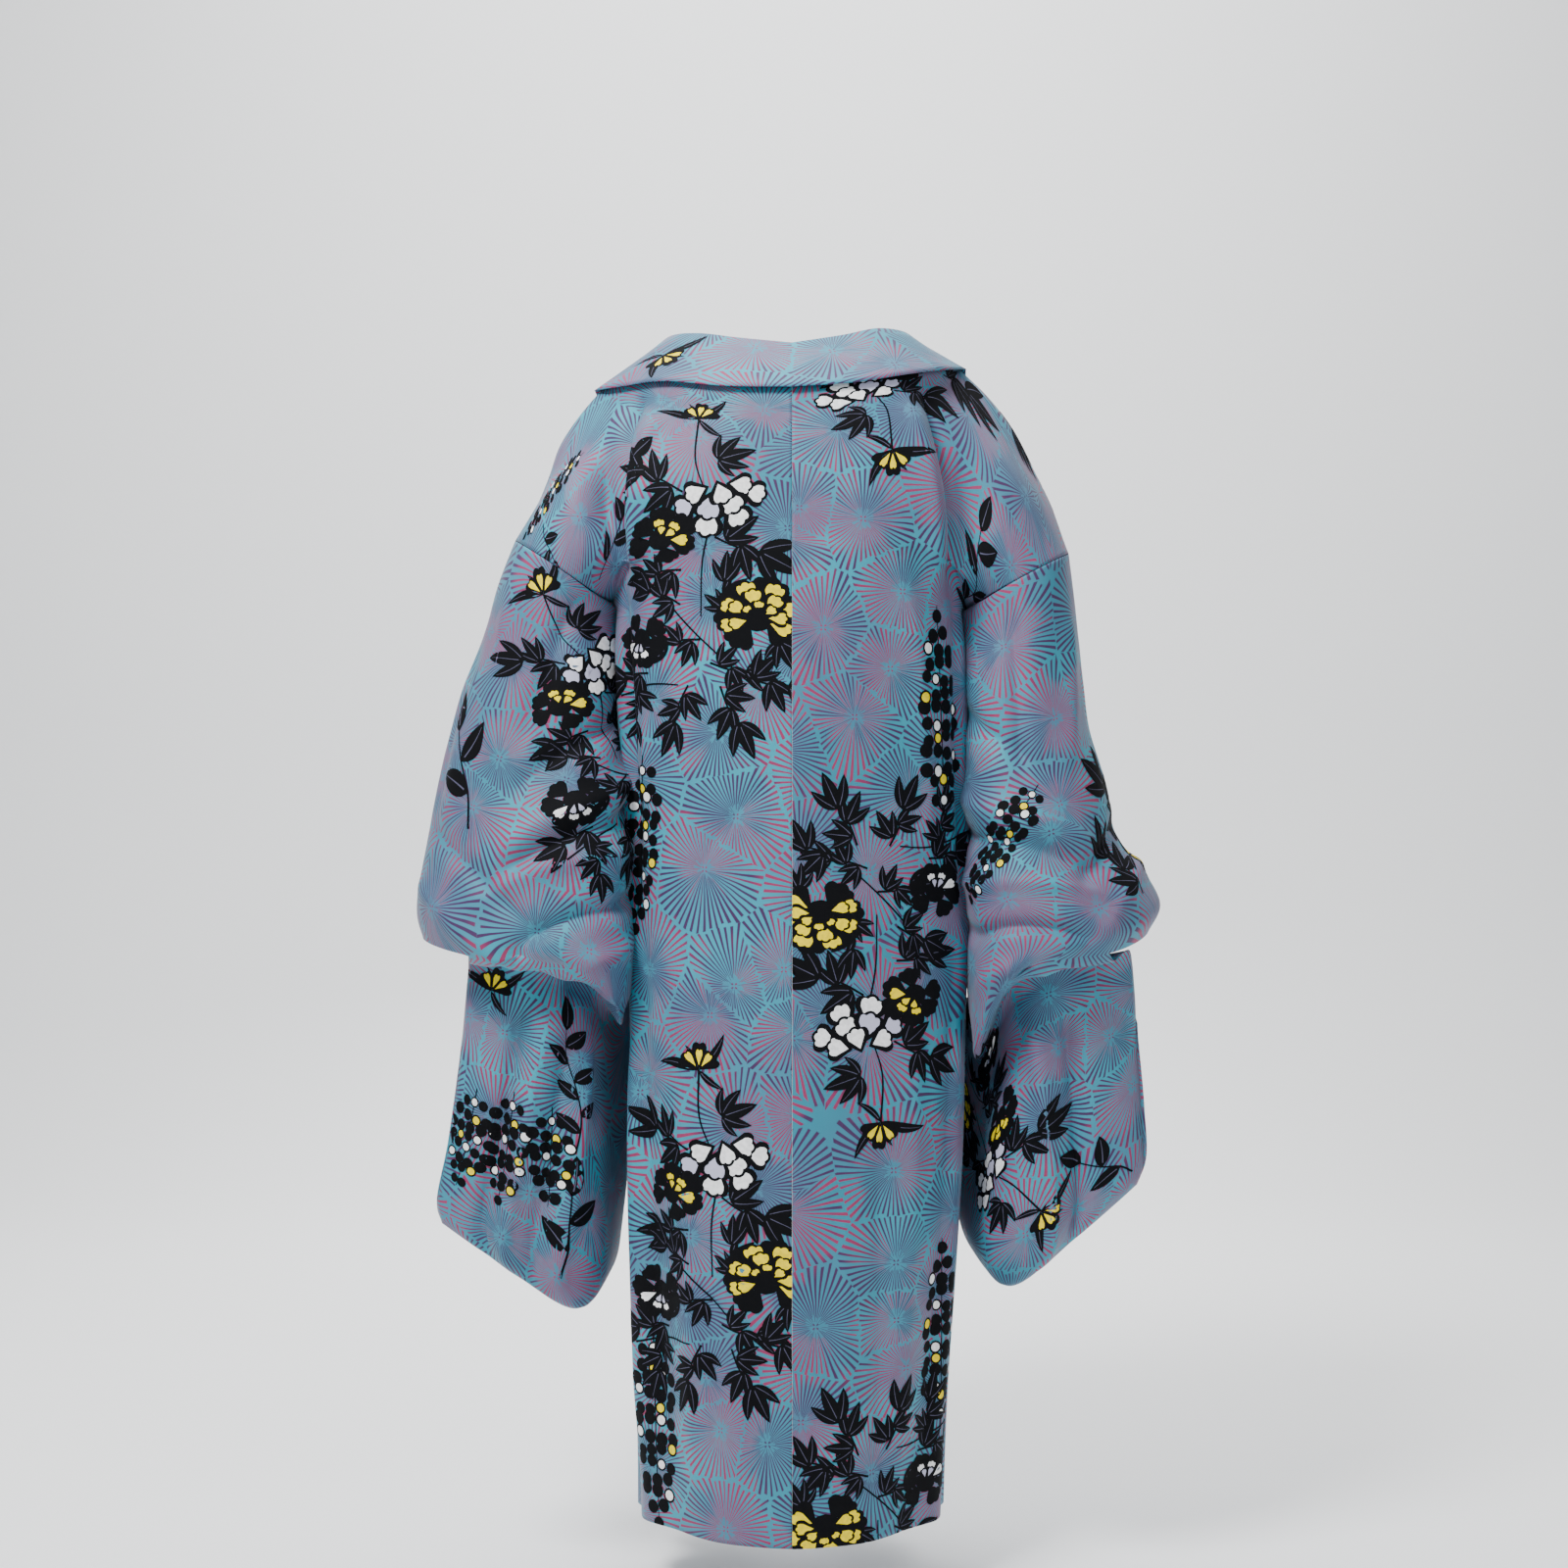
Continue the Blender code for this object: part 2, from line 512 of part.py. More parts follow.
def sleeve_grid(side):
    """Points and faces of the sleeve's middle surface.

    Columns run from the inner back edge round the outer edge to the inner
    front edge.  The outer columns stop at the rim: that is the hand opening.
    The others turn in under the rim and go on as the two layers of the bag,
    which are joined below the opening and along the bottom.
    """
    last = 2 * LAYER_STEPS + CUFF_STEPS
    first_cuff, last_cuff = LAYER_STEPS, LAYER_STEPS + CUFF_STEPS
    verts, faces, index = [], [], {}

    def add(row, column, point):
        index[row, column] = len(verts)
        verts.append(point)

    rim = TUBE_ROWS
    for row in range(rim + 1):
        share = row / rim
        back_end = 160.0 + 14.0 * smooth_step(share * 4)
        front_end = -140.0 - 20.0 * (1 - smooth_step(share * 3))
        angles = np.concatenate([
            np.linspace(back_end, CUFF_BACK, LAYER_STEPS + 1),
            np.linspace(CUFF_BACK, CUFF_FRONT, CUFF_STEPS + 1)[1:],
            np.linspace(CUFF_FRONT, front_end, LAYER_STEPS + 1)[1:]])
        ring = sleeve_ring(side, share, angles)
        if row == 0:
            next_ring = sleeve_ring(side, 0.02, angles)
            way = next_ring - ring
            clear = SLEEVE_CLEAR + UNDERARM_CLEAR * smooth_step((np.abs(angles) - 90) / 70)
            ring = ring + way / np.linalg.norm(way, axis=1)[:, None] * clear[:, None]
        for column in range(last + 1):
            add(row, column, ring[column])

    across = np.linspace(0.0, 1.0, LAYER_STEPS + 1)
    bag_first = rim + TUCK_ROWS + 1
    bottom = bag_first + BAG_ROWS
    drops = np.linspace(0.0, 1.0, BAG_ROWS + 1)
    drops = np.sort(np.concatenate([drops[:-1], [BAG_LAST_ROW]]))
    rim_back = np.array([verts[index[rim, c]] for c in range(first_cuff + 1)])
    rim_front = np.array([verts[index[rim, c]] for c in range(last_cuff, last + 1)])
    top_back = hanging_back(side, 0.0, across, rim_back[::-1])[::-1]
    top_front = hanging_front(side, 0.0, across, rim_front)
    turn_in = np.linalg.norm(top_back[:, :2] - rim_back[:, :2], axis=1)
    tucked = np.clip((turn_in - TUCK_LEAST) / TUCK_LEAST, 0.0, 1.0)
    for step in range(TUCK_ROWS):
        share = (step + 1) / (TUCK_ROWS + 1)
        turned = rim_back + (top_back - rim_back) * TUCK["in"][step]
        turned[:, 2] = (rim_back[:, 2] + (top_back[:, 2] - rim_back[:, 2]) * share
                        + TUCK["up"][step] * tucked)
        straight = rim_front + (top_front - rim_front) * share
        for column in range(first_cuff + 1):
            add(rim + 1 + step, column, turned[column])
        for column in range(last_cuff, last + 1):
            add(rim + 1 + step, column, straight[column - last_cuff])

    for step, drop in enumerate(drops):
        row = bag_first + step
        back = hanging_back(side, drop, across, rim_back[::-1])[::-1]
        front = hanging_front(side, drop, across, rim_front)
        for column in range(first_cuff + 1):
            add(row, column, back[column])
        for column in range(last_cuff, last + 1):
            if column == last_cuff and drop >= OPENING_SHARE:
                index[row, column] = index[row, first_cuff]
            else:
                add(row, column, front[column - last_cuff])

    closing = bag_line(side, 1.0, across)[0][::-1]
    for column in range(first_cuff):
        add(bottom, column, closing[column])
        index[bottom, last - column] = index[bottom, column]
    index[bottom, first_cuff] = index[bottom, last_cuff] = index[bottom - 1, first_cuff]

    for row in range(bottom):
        for column in range(last):
            if row >= rim and first_cuff <= column < last_cuff:
                continue
            corners = [index[row, column], index[row + 1, column],
                       index[row + 1, column + 1], index[row, column + 1]]
            faces.append(list(dict.fromkeys(corners)))
    return np.array(verts), faces


# ---- making walls ----------------------------------------------------------
def grid_faces(row_count, column_count, offset=0):
    """Faces of a plain grid of points, row by row."""
    faces = []
    for row in range(row_count - 1):
        for column in range(column_count - 1):
            start = offset + row * column_count + column
            faces.append([start, start + column_count, start + column_count + 1, start + 1])
    return faces


def material(name):
    """The piece's cloth."""
    label, colour = MATERIALS[name]
    cloth = bpy.data.materials.get(label) or bpy.data.materials.new(label)
    cloth.use_nodes = True
    shader = cloth.node_tree.nodes["Principled BSDF"]
    shader.inputs["Base Color"].default_value = (*colour, 1.0)
    shader.inputs["Roughness"].default_value = 0.55
    shader.inputs["Metallic"].default_value = 0.0
    return cloth


def cloth_object(name, verts, faces, cloth, mirrored):
    """A wall of even thickness round the sheet of verts and faces."""
    verts = np.array(verts, float)
    if mirrored:
        verts[:, 0] *= -1
    mesh = bpy.data.meshes.new(name)
    mesh.from_pydata([tuple(v) for v in verts], [], [list(f) for f in faces])
    sheet = bmesh.new()
    sheet.from_mesh(mesh)
    bmesh.ops.remove_doubles(sheet, verts=sheet.verts, dist=1e-6)
    bmesh.ops.recalc_face_normals(sheet, faces=sheet.faces)
    sheet.to_mesh(mesh)
    sheet.free()
    mesh.shade_smooth()
    piece = bpy.data.objects.new(name, mesh)
    bpy.context.scene.collection.objects.link(piece)
    piece.data.materials.append(material(cloth))
    wall = piece.modifiers.new("wall", "SOLIDIFY")
    wall.thickness = WALL
    wall.offset = 0.0
    wall.use_even_offset = False
    return piece


def body_piece(side, mirrored):
    """One body panel: back and front in one, folded at the shoulder."""
    columns = BACK_NECK_STEPS + SHOULDER_STEPS
    rows = panel_rows()
    across = np.linspace(0.0, 1.0, columns + 1)
    across[-1] -= SEAM_GAP
    back = back_panel(side, across, rows)
    back[:, 0, 0] += SEAM_GAP / 2
    front_across = np.linspace(0.0, 1.0, SHOULDER_STEPS + 1)
    front_across[-1] -= SEAM_GAP
    front = front_panel(side, front_across, rows)
    front[0] = back[0, BACK_NECK_STEPS:]
    verts = np.concatenate([back.reshape(-1, 3), front.reshape(-1, 3)])
    faces = grid_faces(len(rows), columns + 1)
    faces += grid_faces(len(rows), SHOULDER_STEPS + 1, back.shape[0] * back.shape[1])
    cloth_object("body_" + side, verts, faces, "body", mirrored)


def gusset_piece(side, mirrored):
    """The side gusset, between the back and the front."""
    rows = panel_rows()[TOP_ROWS:]
    across = np.array([0.0, 0.25, 0.5, 0.75, 1.0])
    sheet = gusset_panel(side, across, rows)
    for edge, inner in ((0, 1), (-1, -2)):
        way = sheet[:, inner] - sheet[:, edge]
        sheet[:, edge] += way / np.linalg.norm(way, axis=1)[:, None] * SEAM_GAP * 2
    sheet[0, :, 2] -= 0.002
    cloth_object("gusset_" + side, sheet.reshape(-1, 3), grid_faces(len(rows), len(across)),
                 "gusset", mirrored)


def sleeve_piece(side, mirrored):
    """A sleeve with its hand opening, its bag and its open inner edge."""
    verts, faces = sleeve_grid(side)
    cloth_object("sleeve_" + side, verts, faces, "sleeve", mirrored)


def collar_stations(side):
    """Seam and fold points of half the collar, from the centre back to the hem."""
    neck = np.linspace(0.0, 1.0, BACK_NECK_STEPS + 1)
    seam = list(back_neck(side, "seam", neck))
    fold = list(back_neck(side, "fold", neck))
    rows = panel_rows()[1:]
    down = front_panel(side, np.array([0.0]), rows)[:, 0]
    data = FRONT_NECK
    keys, knots = [fold[-1]], [0.0]
    for k, share in enumerate(data["share"]):
        keys.append(np.array([data["fold" + axis][k] for axis in ("_x", "_y", "_z")]))
        knots.append(share)
    for height in (BODY["z"][0], -0.34, -0.60, HEM_Z):
        front_end = section_marks(side, height)[2]
        spot = on_section(side, height, np.array([front_end + COLLAR_WIDTH]))[0][0]
        keys.append(np.array([spot[0], spot[1], height]))
        knots.append(1.0 + (BODY["z"][0] - height) / (BODY["z"][0] - HEM_Z))
    fold += list(curve_through(knots, np.array(keys), rows))
    seam += list(down)
    return np.array(seam), np.array(fold)


def collar_piece():
    """The collar: one strip folded in two, its outer layer lapping over the panels."""
    seam_left, fold_left = collar_stations("left")
    seam_right, fold_right = collar_stations("right")
    flip = np.array([-1.0, 1.0, 1.0])
    seam = np.concatenate([seam_right[::-1] * flip, seam_left[1:]])
    fold = np.concatenate([fold_right[::-1] * flip, fold_left[1:]])
    run = np.gradient(seam + fold, axis=0)
    way = fold - seam
    width = np.linalg.norm(way, axis=1)[:, None]
    way /= width
    normal = np.cross(run, way)
    normal /= np.linalg.norm(normal, axis=1)[:, None]
    middle = len(seam) // 2
    if normal[middle][1] < 0:
        normal = -normal
    gap = COLLAR_SEAM_GAP
    turn = COLLAR_LAYERS / 2
    profile = [(gap, 0.0)]
    profile += [(share, 0.0) for share in (0.25, 0.5, 0.75)]
    profile += [("fold", angle) for angle in (-90, -30, 30, 90)]
    profile += [(share, COLLAR_LAYERS) for share in (0.75, 0.5, 0.25)]
    profile += [(0.0, COLLAR_LAYERS), (-COLLAR_LAP, COLLAR_LAYERS)]
    rows = []
    for first, second in profile:
        if first == "fold":
            angle = np.radians(second)
            reach = width - turn + turn * np.cos(angle)
            height = turn + turn * np.sin(angle)
        elif 0.2 < first < 0.8:
            reach, height = width * first, second
        else:
            reach, height = first, second
        rows.append(seam + way * reach + normal * height)
    sheet = np.array(rows)
    cloth_object("collar", sheet.reshape(-1, 3), grid_faces(sheet.shape[0], sheet.shape[1]),
                 "collar", False)


def clear_scene():
    """Start from nothing."""
    for item in list(bpy.data.objects):
        bpy.data.objects.remove(item, do_unlink=True)


def main():
    clear_scene()
    for side, mirrored in (("left", False), ("right", True)):
        body_piece(side, mirrored)
        gusset_piece(side, mirrored)
        sleeve_piece(side, mirrored)
    collar_piece()


main()
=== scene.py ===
"""Haori jacket seen from behind: cloth with its print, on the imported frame.

Metres, +Z up, the wearer faces -Y and the wearer's left is +X. Both sides are
worked out on the side of +x, and the right one is mirrored as its mesh is made.
"""

import bmesh
import bpy
import numpy as np
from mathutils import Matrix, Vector
from mathutils.geometry import delaunay_2d_cdt


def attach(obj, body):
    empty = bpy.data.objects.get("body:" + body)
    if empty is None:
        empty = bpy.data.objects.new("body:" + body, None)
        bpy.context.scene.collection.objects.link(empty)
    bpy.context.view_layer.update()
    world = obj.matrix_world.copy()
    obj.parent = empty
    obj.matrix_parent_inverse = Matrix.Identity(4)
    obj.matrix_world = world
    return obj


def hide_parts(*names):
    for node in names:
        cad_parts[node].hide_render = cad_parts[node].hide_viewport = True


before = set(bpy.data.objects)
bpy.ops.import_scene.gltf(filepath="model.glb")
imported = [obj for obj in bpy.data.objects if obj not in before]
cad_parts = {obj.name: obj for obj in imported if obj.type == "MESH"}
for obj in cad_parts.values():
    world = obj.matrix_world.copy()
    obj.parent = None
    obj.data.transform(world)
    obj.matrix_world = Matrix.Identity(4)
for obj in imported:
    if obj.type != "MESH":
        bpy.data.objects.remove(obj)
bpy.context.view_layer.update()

# ---- driving sizes ---------------------------------------------------------
MILLIMETRE = 0.001
SHELL = 0.0010             # thickness of the cloth that shows
SEAM_GAP = 0.0003          # space left between two pieces at a seam
PANEL_START = 0.00005      # from the centre plane to a panel's edge at the back seam
ARMHOLE_EASE = 0.65        # share of a panel's width left alone by the armhole's edge
HEM_Z = -1.06              # height of the hem
SIDE_SEAM = 0.008          # from the widest point of a section to the gusset's back seam
PLEAT_REACH = 0.032        # half width of the gusset's pleat
GUSSET_DROP = 0.002        # from the armhole's bottom down to the gusset's top edge
GUSSET_GAP = 2 * SEAM_GAP  # from the gusset to the panel on each side
SLEEVE_CLEAR = 0.0006      # from the armhole ring to the sleeve's edge, on top
UNDERARM_CLEAR = 0.0022    # added under the arm, where body and sleeve meet at an angle
UNDERARM_TURN = 70         # degrees below the ring's middle over which it grows
CLEAR_WAY = 0.02           # share of the arm that gives the way in which the edge is cleared
COLLAR_WIDTH = 0.064
COLLAR_LAYERS = 0.0036     # from one layer of the folded collar to the other
COLLAR_LAP = 0.006         # how far the outer layer laps over the panel
COLLAR_SEAM_GAP = 0.0010   # the collar bends away from the panels at its seam
CUFF_BACK = 54.0           # hand opening on the back, degrees round the sleeve
CUFF_FRONT = -50.0         # hand opening on the front
BACK_EDGE, BACK_EDGE_MORE = 160.0, 14.0     # inner back edge at the armhole, its gain below
FRONT_EDGE, FRONT_EDGE_MORE = -140.0, 20.0  # inner front edge, its gain at the armhole
OPENING_SHARE = 0.30       # share of the bag's height that the hand opening takes
OPENING_MORE = 0.5         # further share before the front layer reaches its own place
OPENING_WIDE = 0.5         # share of the width, from the outer edge, over which that grows
ARMHOLE_BACK = 0.078       # depth of the armhole ring behind the arm
ARMHOLE_FRONT = 0.070      # and before it
FRONT_LIFT_TURN = 1.9      # radians over which the front of the rim reaches its lift
BACK_HASTE = 0.2           # how much sooner the back of a ring comes in to the body
BAG_BELOW_RIM = 0.016      # least height from the rim down to the bag's first row
BAG_HALF_DEPTH = 0.014     # half the space between the two layers of the bag
BAG_END_ROUND = 0.30       # share of the bag's width over which its edge rounds
BAG_CLOSES = 0.85          # share of the bag's height where it starts to close
LAST_DROP = 0.993          # share where a last row keeps its bottom round
BAG_BEND_RADIUS = 0.035    # how softly the bag turns beside the body
TUCK_LEAST = 0.015         # below this way in, the cloth goes straight down
INNER_REACH = 0.0090       # how far the sleeve's loose inner edge leans to the body
INNER_WIDE = 0.060         # width of cloth beside that edge that leans with it
LEAN_GROWS, LEAN_FADES = 0.025, 0.10  # shares of the arm over which it starts and ends
EDGE_HOLD = 0.012          # width beside a seam over which creases die out
SLEEVE_HOLD = 0.02         # the same on the sleeve, also below the armhole
ROW_HOLD = 0.03            # the same below the shoulder and above the bag's bottom

# ---- steps of the grids ----------------------------------------------------
BACK_NECK_STEPS, SHOULDER_STEPS = 56, 52
TOP_ROWS, LOW_ROWS = 60, 190
TUBE_ROWS, TUCK_ROWS, BAG_ROWS = 110, 11, 80
LAYER_STEPS, CUFF_STEPS = 54, 36
FIRST_CUFF, LAST_CUFF = LAYER_STEPS, LAYER_STEPS + CUFF_STEPS
GUSSET_STEPS = 14
QUARTER_STEPS = 120        # steps of a section's quarter turn
CORNER_STEPS = 12          # steps of the bag's bend beside the body
SECTION_STEP, BAG_STEP = 0.004, 0.006  # reach of the step that gives a line's way
SMOOTHINGS = 3             # rounds that smooth the bag's upper edge

# ---- body sections below the armhole, one column for each height -----------
# left, right: half width.  back, front: depth.  round: 2 is an ellipse.
# seam: from the middle to the collar's seam.  gusset: its width.
BODY = {
    "z":           [-0.244, -0.30, -0.40, -0.55, -0.70, -0.82, -0.93, -1.06],
    "left":        [0.1600, 0.1610, 0.1545, 0.1505, 0.1500, 0.1475, 0.1440, 0.1420],
    "right":       [0.1540, 0.1590, 0.1610, 0.1625, 0.1610, 0.1550, 0.1460, 0.1405],
    "back":        [0.122, 0.121, 0.118, 0.116, 0.118, 0.120, 0.121, 0.121],
    "front":       [-0.128, -0.140, -0.146, -0.150, -0.154, -0.156, -0.158, -0.158],
    "back_round":  [2.30, 2.20, 2.10, 2.05, 2.00, 1.95, 1.85, 1.75],
    "front_round": [2.30, 2.45, 2.60, 2.70, 2.70, 2.70, 2.70, 2.70],
    "seam":        [0.110, 0.098, 0.092, 0.089, 0.088, 0.088, 0.088, 0.088],
    "gusset":      [0.018, 0.022, 0.026, 0.032, 0.038, 0.043, 0.048, 0.053],
    "pleat":       [0.000, 0.002, 0.006, 0.012, 0.017, 0.021, 0.024, 0.027],
}
ARMHOLE_Z = BODY["z"][0]
SECTION_HEIGHTS = (ARMHOLE_Z, -0.285, -0.35, -0.45, -0.60, -0.75, -0.87, -0.97, HEM_Z)
COLLAR_HEIGHTS = (ARMHOLE_Z, -0.34, -0.60, HEM_Z)

# ---- vertical folds of the body --------------------------------------------
# place across the panel, depth in or out, half width as a share, height where
# the fold starts, height where it reaches its depth
BACK_FOLDS = [
    (0.30, 0.002, 0.10, -0.60, -0.95), (0.55, -0.003, 0.09, -0.50, -0.90),
    (0.74, 0.004, 0.07, -0.35, -0.80), (0.90, -0.005, 0.06, -0.30, -0.70),
]
FRONT_FOLDS = [
    (0.10, 0.006, 0.10, -0.20, -0.60), (0.32, -0.007, 0.10, -0.25, -0.70),
    (0.54, 0.008, 0.10, -0.22, -0.65), (0.76, -0.006, 0.10, -0.30, -0.80),
]

# ---- shoulders: one point for each share of the way down to the armhole -----
SHARES = (0.25, 0.50, 0.75)
BACK_MIDDLE = [(0.0, 0.112, -0.094), (0.0, 0.118, -0.137), (0.0, 0.121, -0.180)]
HALF_BLADE = 0.58          # place of the point between the middle and the blade
HALF_OUT = 0.010           # how far that point stands out
# stations: places across of those points.  crease: the deep fold where the arm
# meets the back.  lobe: the cloth over the upper arm.  out, low: the ends of
# the armhole ring and crest: the shoulder's fold, all as x and z.
SHOULDER = {
    "left": {
        "stations": [0.0, 0.28, 0.52, 0.7, 0.86, 1.0],
        "blade": [(0.140, 0.070, -0.083), (0.142, 0.090, -0.142), (0.136, 0.088, -0.190)],
        "crease": [(0.170, 0.052, -0.098), (0.163, 0.060, -0.155), (0.150, 0.071, -0.202)],
        "lobe": [(0.205, 0.060, -0.135), (0.182, 0.079, -0.178), (0.162, 0.065, -0.213)],
        "out": (0.2524, -0.178),
        "low": (0.162, -0.238),
        "crest": [(0.174, -0.038), (0.196, -0.0645), (0.2125, -0.090), (0.2227, -0.119), (0.236, -0.150)],
    },
    "right": {
        "stations": [0.0, 0.24, 0.44, 0.58, 0.8, 1.0],
        "blade": [(0.114, 0.086, -0.078), (0.128, 0.093, -0.134), (0.132, 0.089, -0.188)],
        "crease": [(0.140, 0.064, -0.084), (0.149, 0.068, -0.146), (0.147, 0.072, -0.203)],
        "lobe": [(0.196, 0.062, -0.130), (0.180, 0.079, -0.182), (0.158, 0.065, -0.216)],
        "out": (0.253, -0.190),
        "low": (0.158, -0.241),
        "crest": [(0.153, -0.019), (0.179, -0.044), (0.2015, -0.073), (0.2205, -0.109), (0.240, -0.150)],
    },
}
# Back neck, from the centre to the neck point: the panel's seam, the collar's fold.
NECK = {
    "left": {
        "seam": [
            (0.0, 0.102, -0.053), (0.055, 0.097, -0.0515), (0.112, 0.069, -0.042),
            (0.148, 0.035, -0.040), (0.174, 0.0, -0.038),
        ],
        "fold": [
            (0.0, 0.056, -0.0085), (0.050, 0.048, -0.002), (0.085, 0.032, 0.005), (0.106, 0.016, 0.0065),
            (0.1236, -0.004, -0.002),
        ],
    },
    "right": {
        "seam": [
            (0.0, 0.102, -0.053), (0.055, 0.097, -0.048), (0.100, 0.076, -0.037), (0.132, 0.042, -0.027),
            (0.153, 0.0, -0.019),
        ],
        "fold": [
            (0.0, 0.056, -0.0085), (0.046, 0.049, 0.0), (0.078, 0.034, 0.009), (0.100, 0.015, 0.0095),
            (0.113, -0.008, 0.005),
        ],
    },
}
FRONT_STATIONS = [0.0, 0.30, 0.52, 0.76, 1.0]
FRONT_NECK = {
    "seam": [(0.158, -0.048, -0.075), (0.140, -0.084, -0.122), (0.123, -0.108, -0.172)],
    "fold": [(0.106, -0.052, -0.036), (0.083, -0.090, -0.090), (0.063, -0.115, -0.150)],
    "blade": [(0.166, -0.046, -0.090), (0.156, -0.074, -0.140), (0.148, -0.088, -0.187)],
    "crease": [(0.176, -0.044, -0.108), (0.166, -0.062, -0.160), (0.158, -0.062, -0.208)],
    "lobe": [(0.207, -0.052, -0.139), (0.185, -0.072, -0.180), (0.168, -0.060, -0.218)],
}

# ---- sleeves: rings across the arm, from the armhole to the wrist ----------
# out: the edge away from the body and in: the edge beside it, as x and z.
# lift: how far the rim rises.  edge, bend, inner: the bag's corners, row by row.
SLEEVE_BACK = [0.080, 0.083, 0.086, 0.090, 0.095, 0.101, 0.105, 0.106, 0.100]
SLEEVE_FRONT = [-0.072, -0.074, -0.076, -0.078, -0.080, -0.080, -0.078, -0.074, -0.070]
BAG_DROPS = [0.0, 0.30, 0.60, 0.85, 1.0]
SLEEVE = {
    "left": {
        "out": [
            (0.268, -0.218), (0.2811, -0.263), (0.301, -0.310), (0.3126, -0.351), (0.3225, -0.393),
            (0.3333, -0.452), (0.341, -0.495), (0.3423, -0.520), (0.337, -0.540),
        ],
        "in": [
            (0.166, -0.262), (0.163, -0.310), (0.1575, -0.362), (0.1515, -0.405), (0.1475, -0.452),
            (0.1455, -0.512), (0.145, -0.556), (0.1465, -0.584), (0.1505, -0.609),
        ],
        "lift": 0.058,
        "front_lift": 0.035,
        "edge": [
            (0.292, 0.030, -0.566), (0.299, 0.030, -0.637), (0.311, 0.030, -0.724),
            (0.321, 0.030, -0.779), (0.316, 0.030, -0.797),
        ],
        "bend": [
            (0.205, 0.052, -0.575), (0.200, 0.052, -0.665), (0.195, 0.050, -0.760),
            (0.185, 0.048, -0.838), (0.193, 0.046, -0.878),
        ],
        "inner": [
            (0.165, -0.050, -0.580), (0.165, -0.052, -0.665), (0.168, -0.055, -0.755),
            (0.176, -0.058, -0.828), (0.180, -0.060, -0.866),
        ],
    },
    "right": {
        "out": [
            (0.2585, -0.234), (0.2625, -0.270), (0.2683, -0.310), (0.2737, -0.349), (0.2863, -0.392),
            (0.299, -0.449), (0.320, -0.477), (0.3367, -0.508), (0.326, -0.533),
        ],
        "in": [
            (0.160, -0.274), (0.160, -0.312), (0.1595, -0.355), (0.160, -0.398), (0.1605, -0.448),
            (0.1605, -0.510), (0.1605, -0.555), (0.1615, -0.602), (0.163, -0.640),
        ],
        "lift": 0.095,
        "front_lift": 0.078,
        "edge": [
            (0.308, 0.030, -0.555), (0.313, 0.030, -0.620), (0.319, 0.030, -0.690),
            (0.320, 0.030, -0.740), (0.312, 0.030, -0.762),
        ],
        "bend": [
            (0.215, 0.052, -0.565), (0.210, 0.052, -0.650), (0.202, 0.050, -0.740),
            (0.193, 0.048, -0.815), (0.196, 0.046, -0.858),
        ],
        "inner": [
            (0.176, -0.050, -0.575), (0.175, -0.052, -0.655), (0.174, -0.055, -0.735),
            (0.172, -0.058, -0.800), (0.180, -0.060, -0.846),
        ],
    },
}
# The pouch over the wrist turns in under its rim, then up, then down as the bag.
TUCK_IN = [0.0, 0.25, 0.60, 0.88, 1.0]       # share of the way from the rim to the bag
TUCK_UP = [0.0, -0.004, 0.006, 0.011, 0.0]   # height above the straight way

# ---- creases, in millimetres of cloth --------------------------------------
CREASE_PAST, CREASE_FADE = 0.12, 0.30        # shares of its length past its ends, and to its full depth
CREASE_ROUND = 1.6                           # 2 is a bell, less is sharper
# from u, v to u, v; how far the middle bows sideways; depth out or in; width
BACK_CREASES = {
    "left": [
        (176, 210, 176, 580, 0, 5.5, 20), (148, 20, 166, 190, 5, -9.5, 8),
        (126, 50, 148, 200, 6, 5.5, 11), (172, 200, 158, 500, -6, -6.5, 8),
        (118, 160, 140, 400, 8, 4, 13), (60, 20, 140, 110, 8, -2.5, 8), (150, 500, 128, 950, 6, -5.5, 11),
        (98, 560, 90, 1000, 4, 4.5, 16), (62, 640, 70, 1000, 4, -4, 13), (40, 700, 44, 1000, 3, 3, 11),
        (18, 380, 90, 470, 6, -2, 7), (60, 260, 130, 310, 5, -1.8, 7), (165, 600, 168, 980, 4, 5, 10),
    ],
    "right": [
        (176, 210, 176, 580, 0, 5.5, 20), (130, 30, 160, 210, 4, -9, 8), (106, 50, 136, 220, 6, 5.5, 11),
        (168, 220, 176, 520, -5, -6, 8), (100, 200, 128, 460, 8, 3.5, 13), (30, 30, 95, 140, -8, -2.5, 8),
        (160, 540, 136, 980, 6, -5.5, 11), (112, 600, 104, 1000, 4, 4.5, 16),
        (76, 700, 80, 1000, 3, -4, 13), (46, 760, 40, 1000, 3, 2.8, 11), (70, 460, 130, 560, 6, -2, 7),
        (20, 300, 80, 360, 5, -1.8, 7),
    ],
}
FRONT_CREASES = {
    "left": [
        (50, 50, 80, 300, 6, -4.5, 8.5), (100, 100, 110, 420, 5, 4, 10.2), (40, 350, 30, 850, 6, 4.3, 11),
        (80, 500, 90, 1000, 5, -4.7, 10.2), (120, 450, 120, 980, 4, 4, 10.2),
    ],
    "right": [
        (50, 60, 70, 340, 6, -4.5, 8.5), (100, 120, 120, 400, 5, 4, 10.2), (30, 400, 40, 920, 6, 4.3, 11),
        (80, 460, 80, 1000, 5, -4.3, 10.2), (120, 550, 130, 1000, 4, 3.6, 10.2),
    ],
}
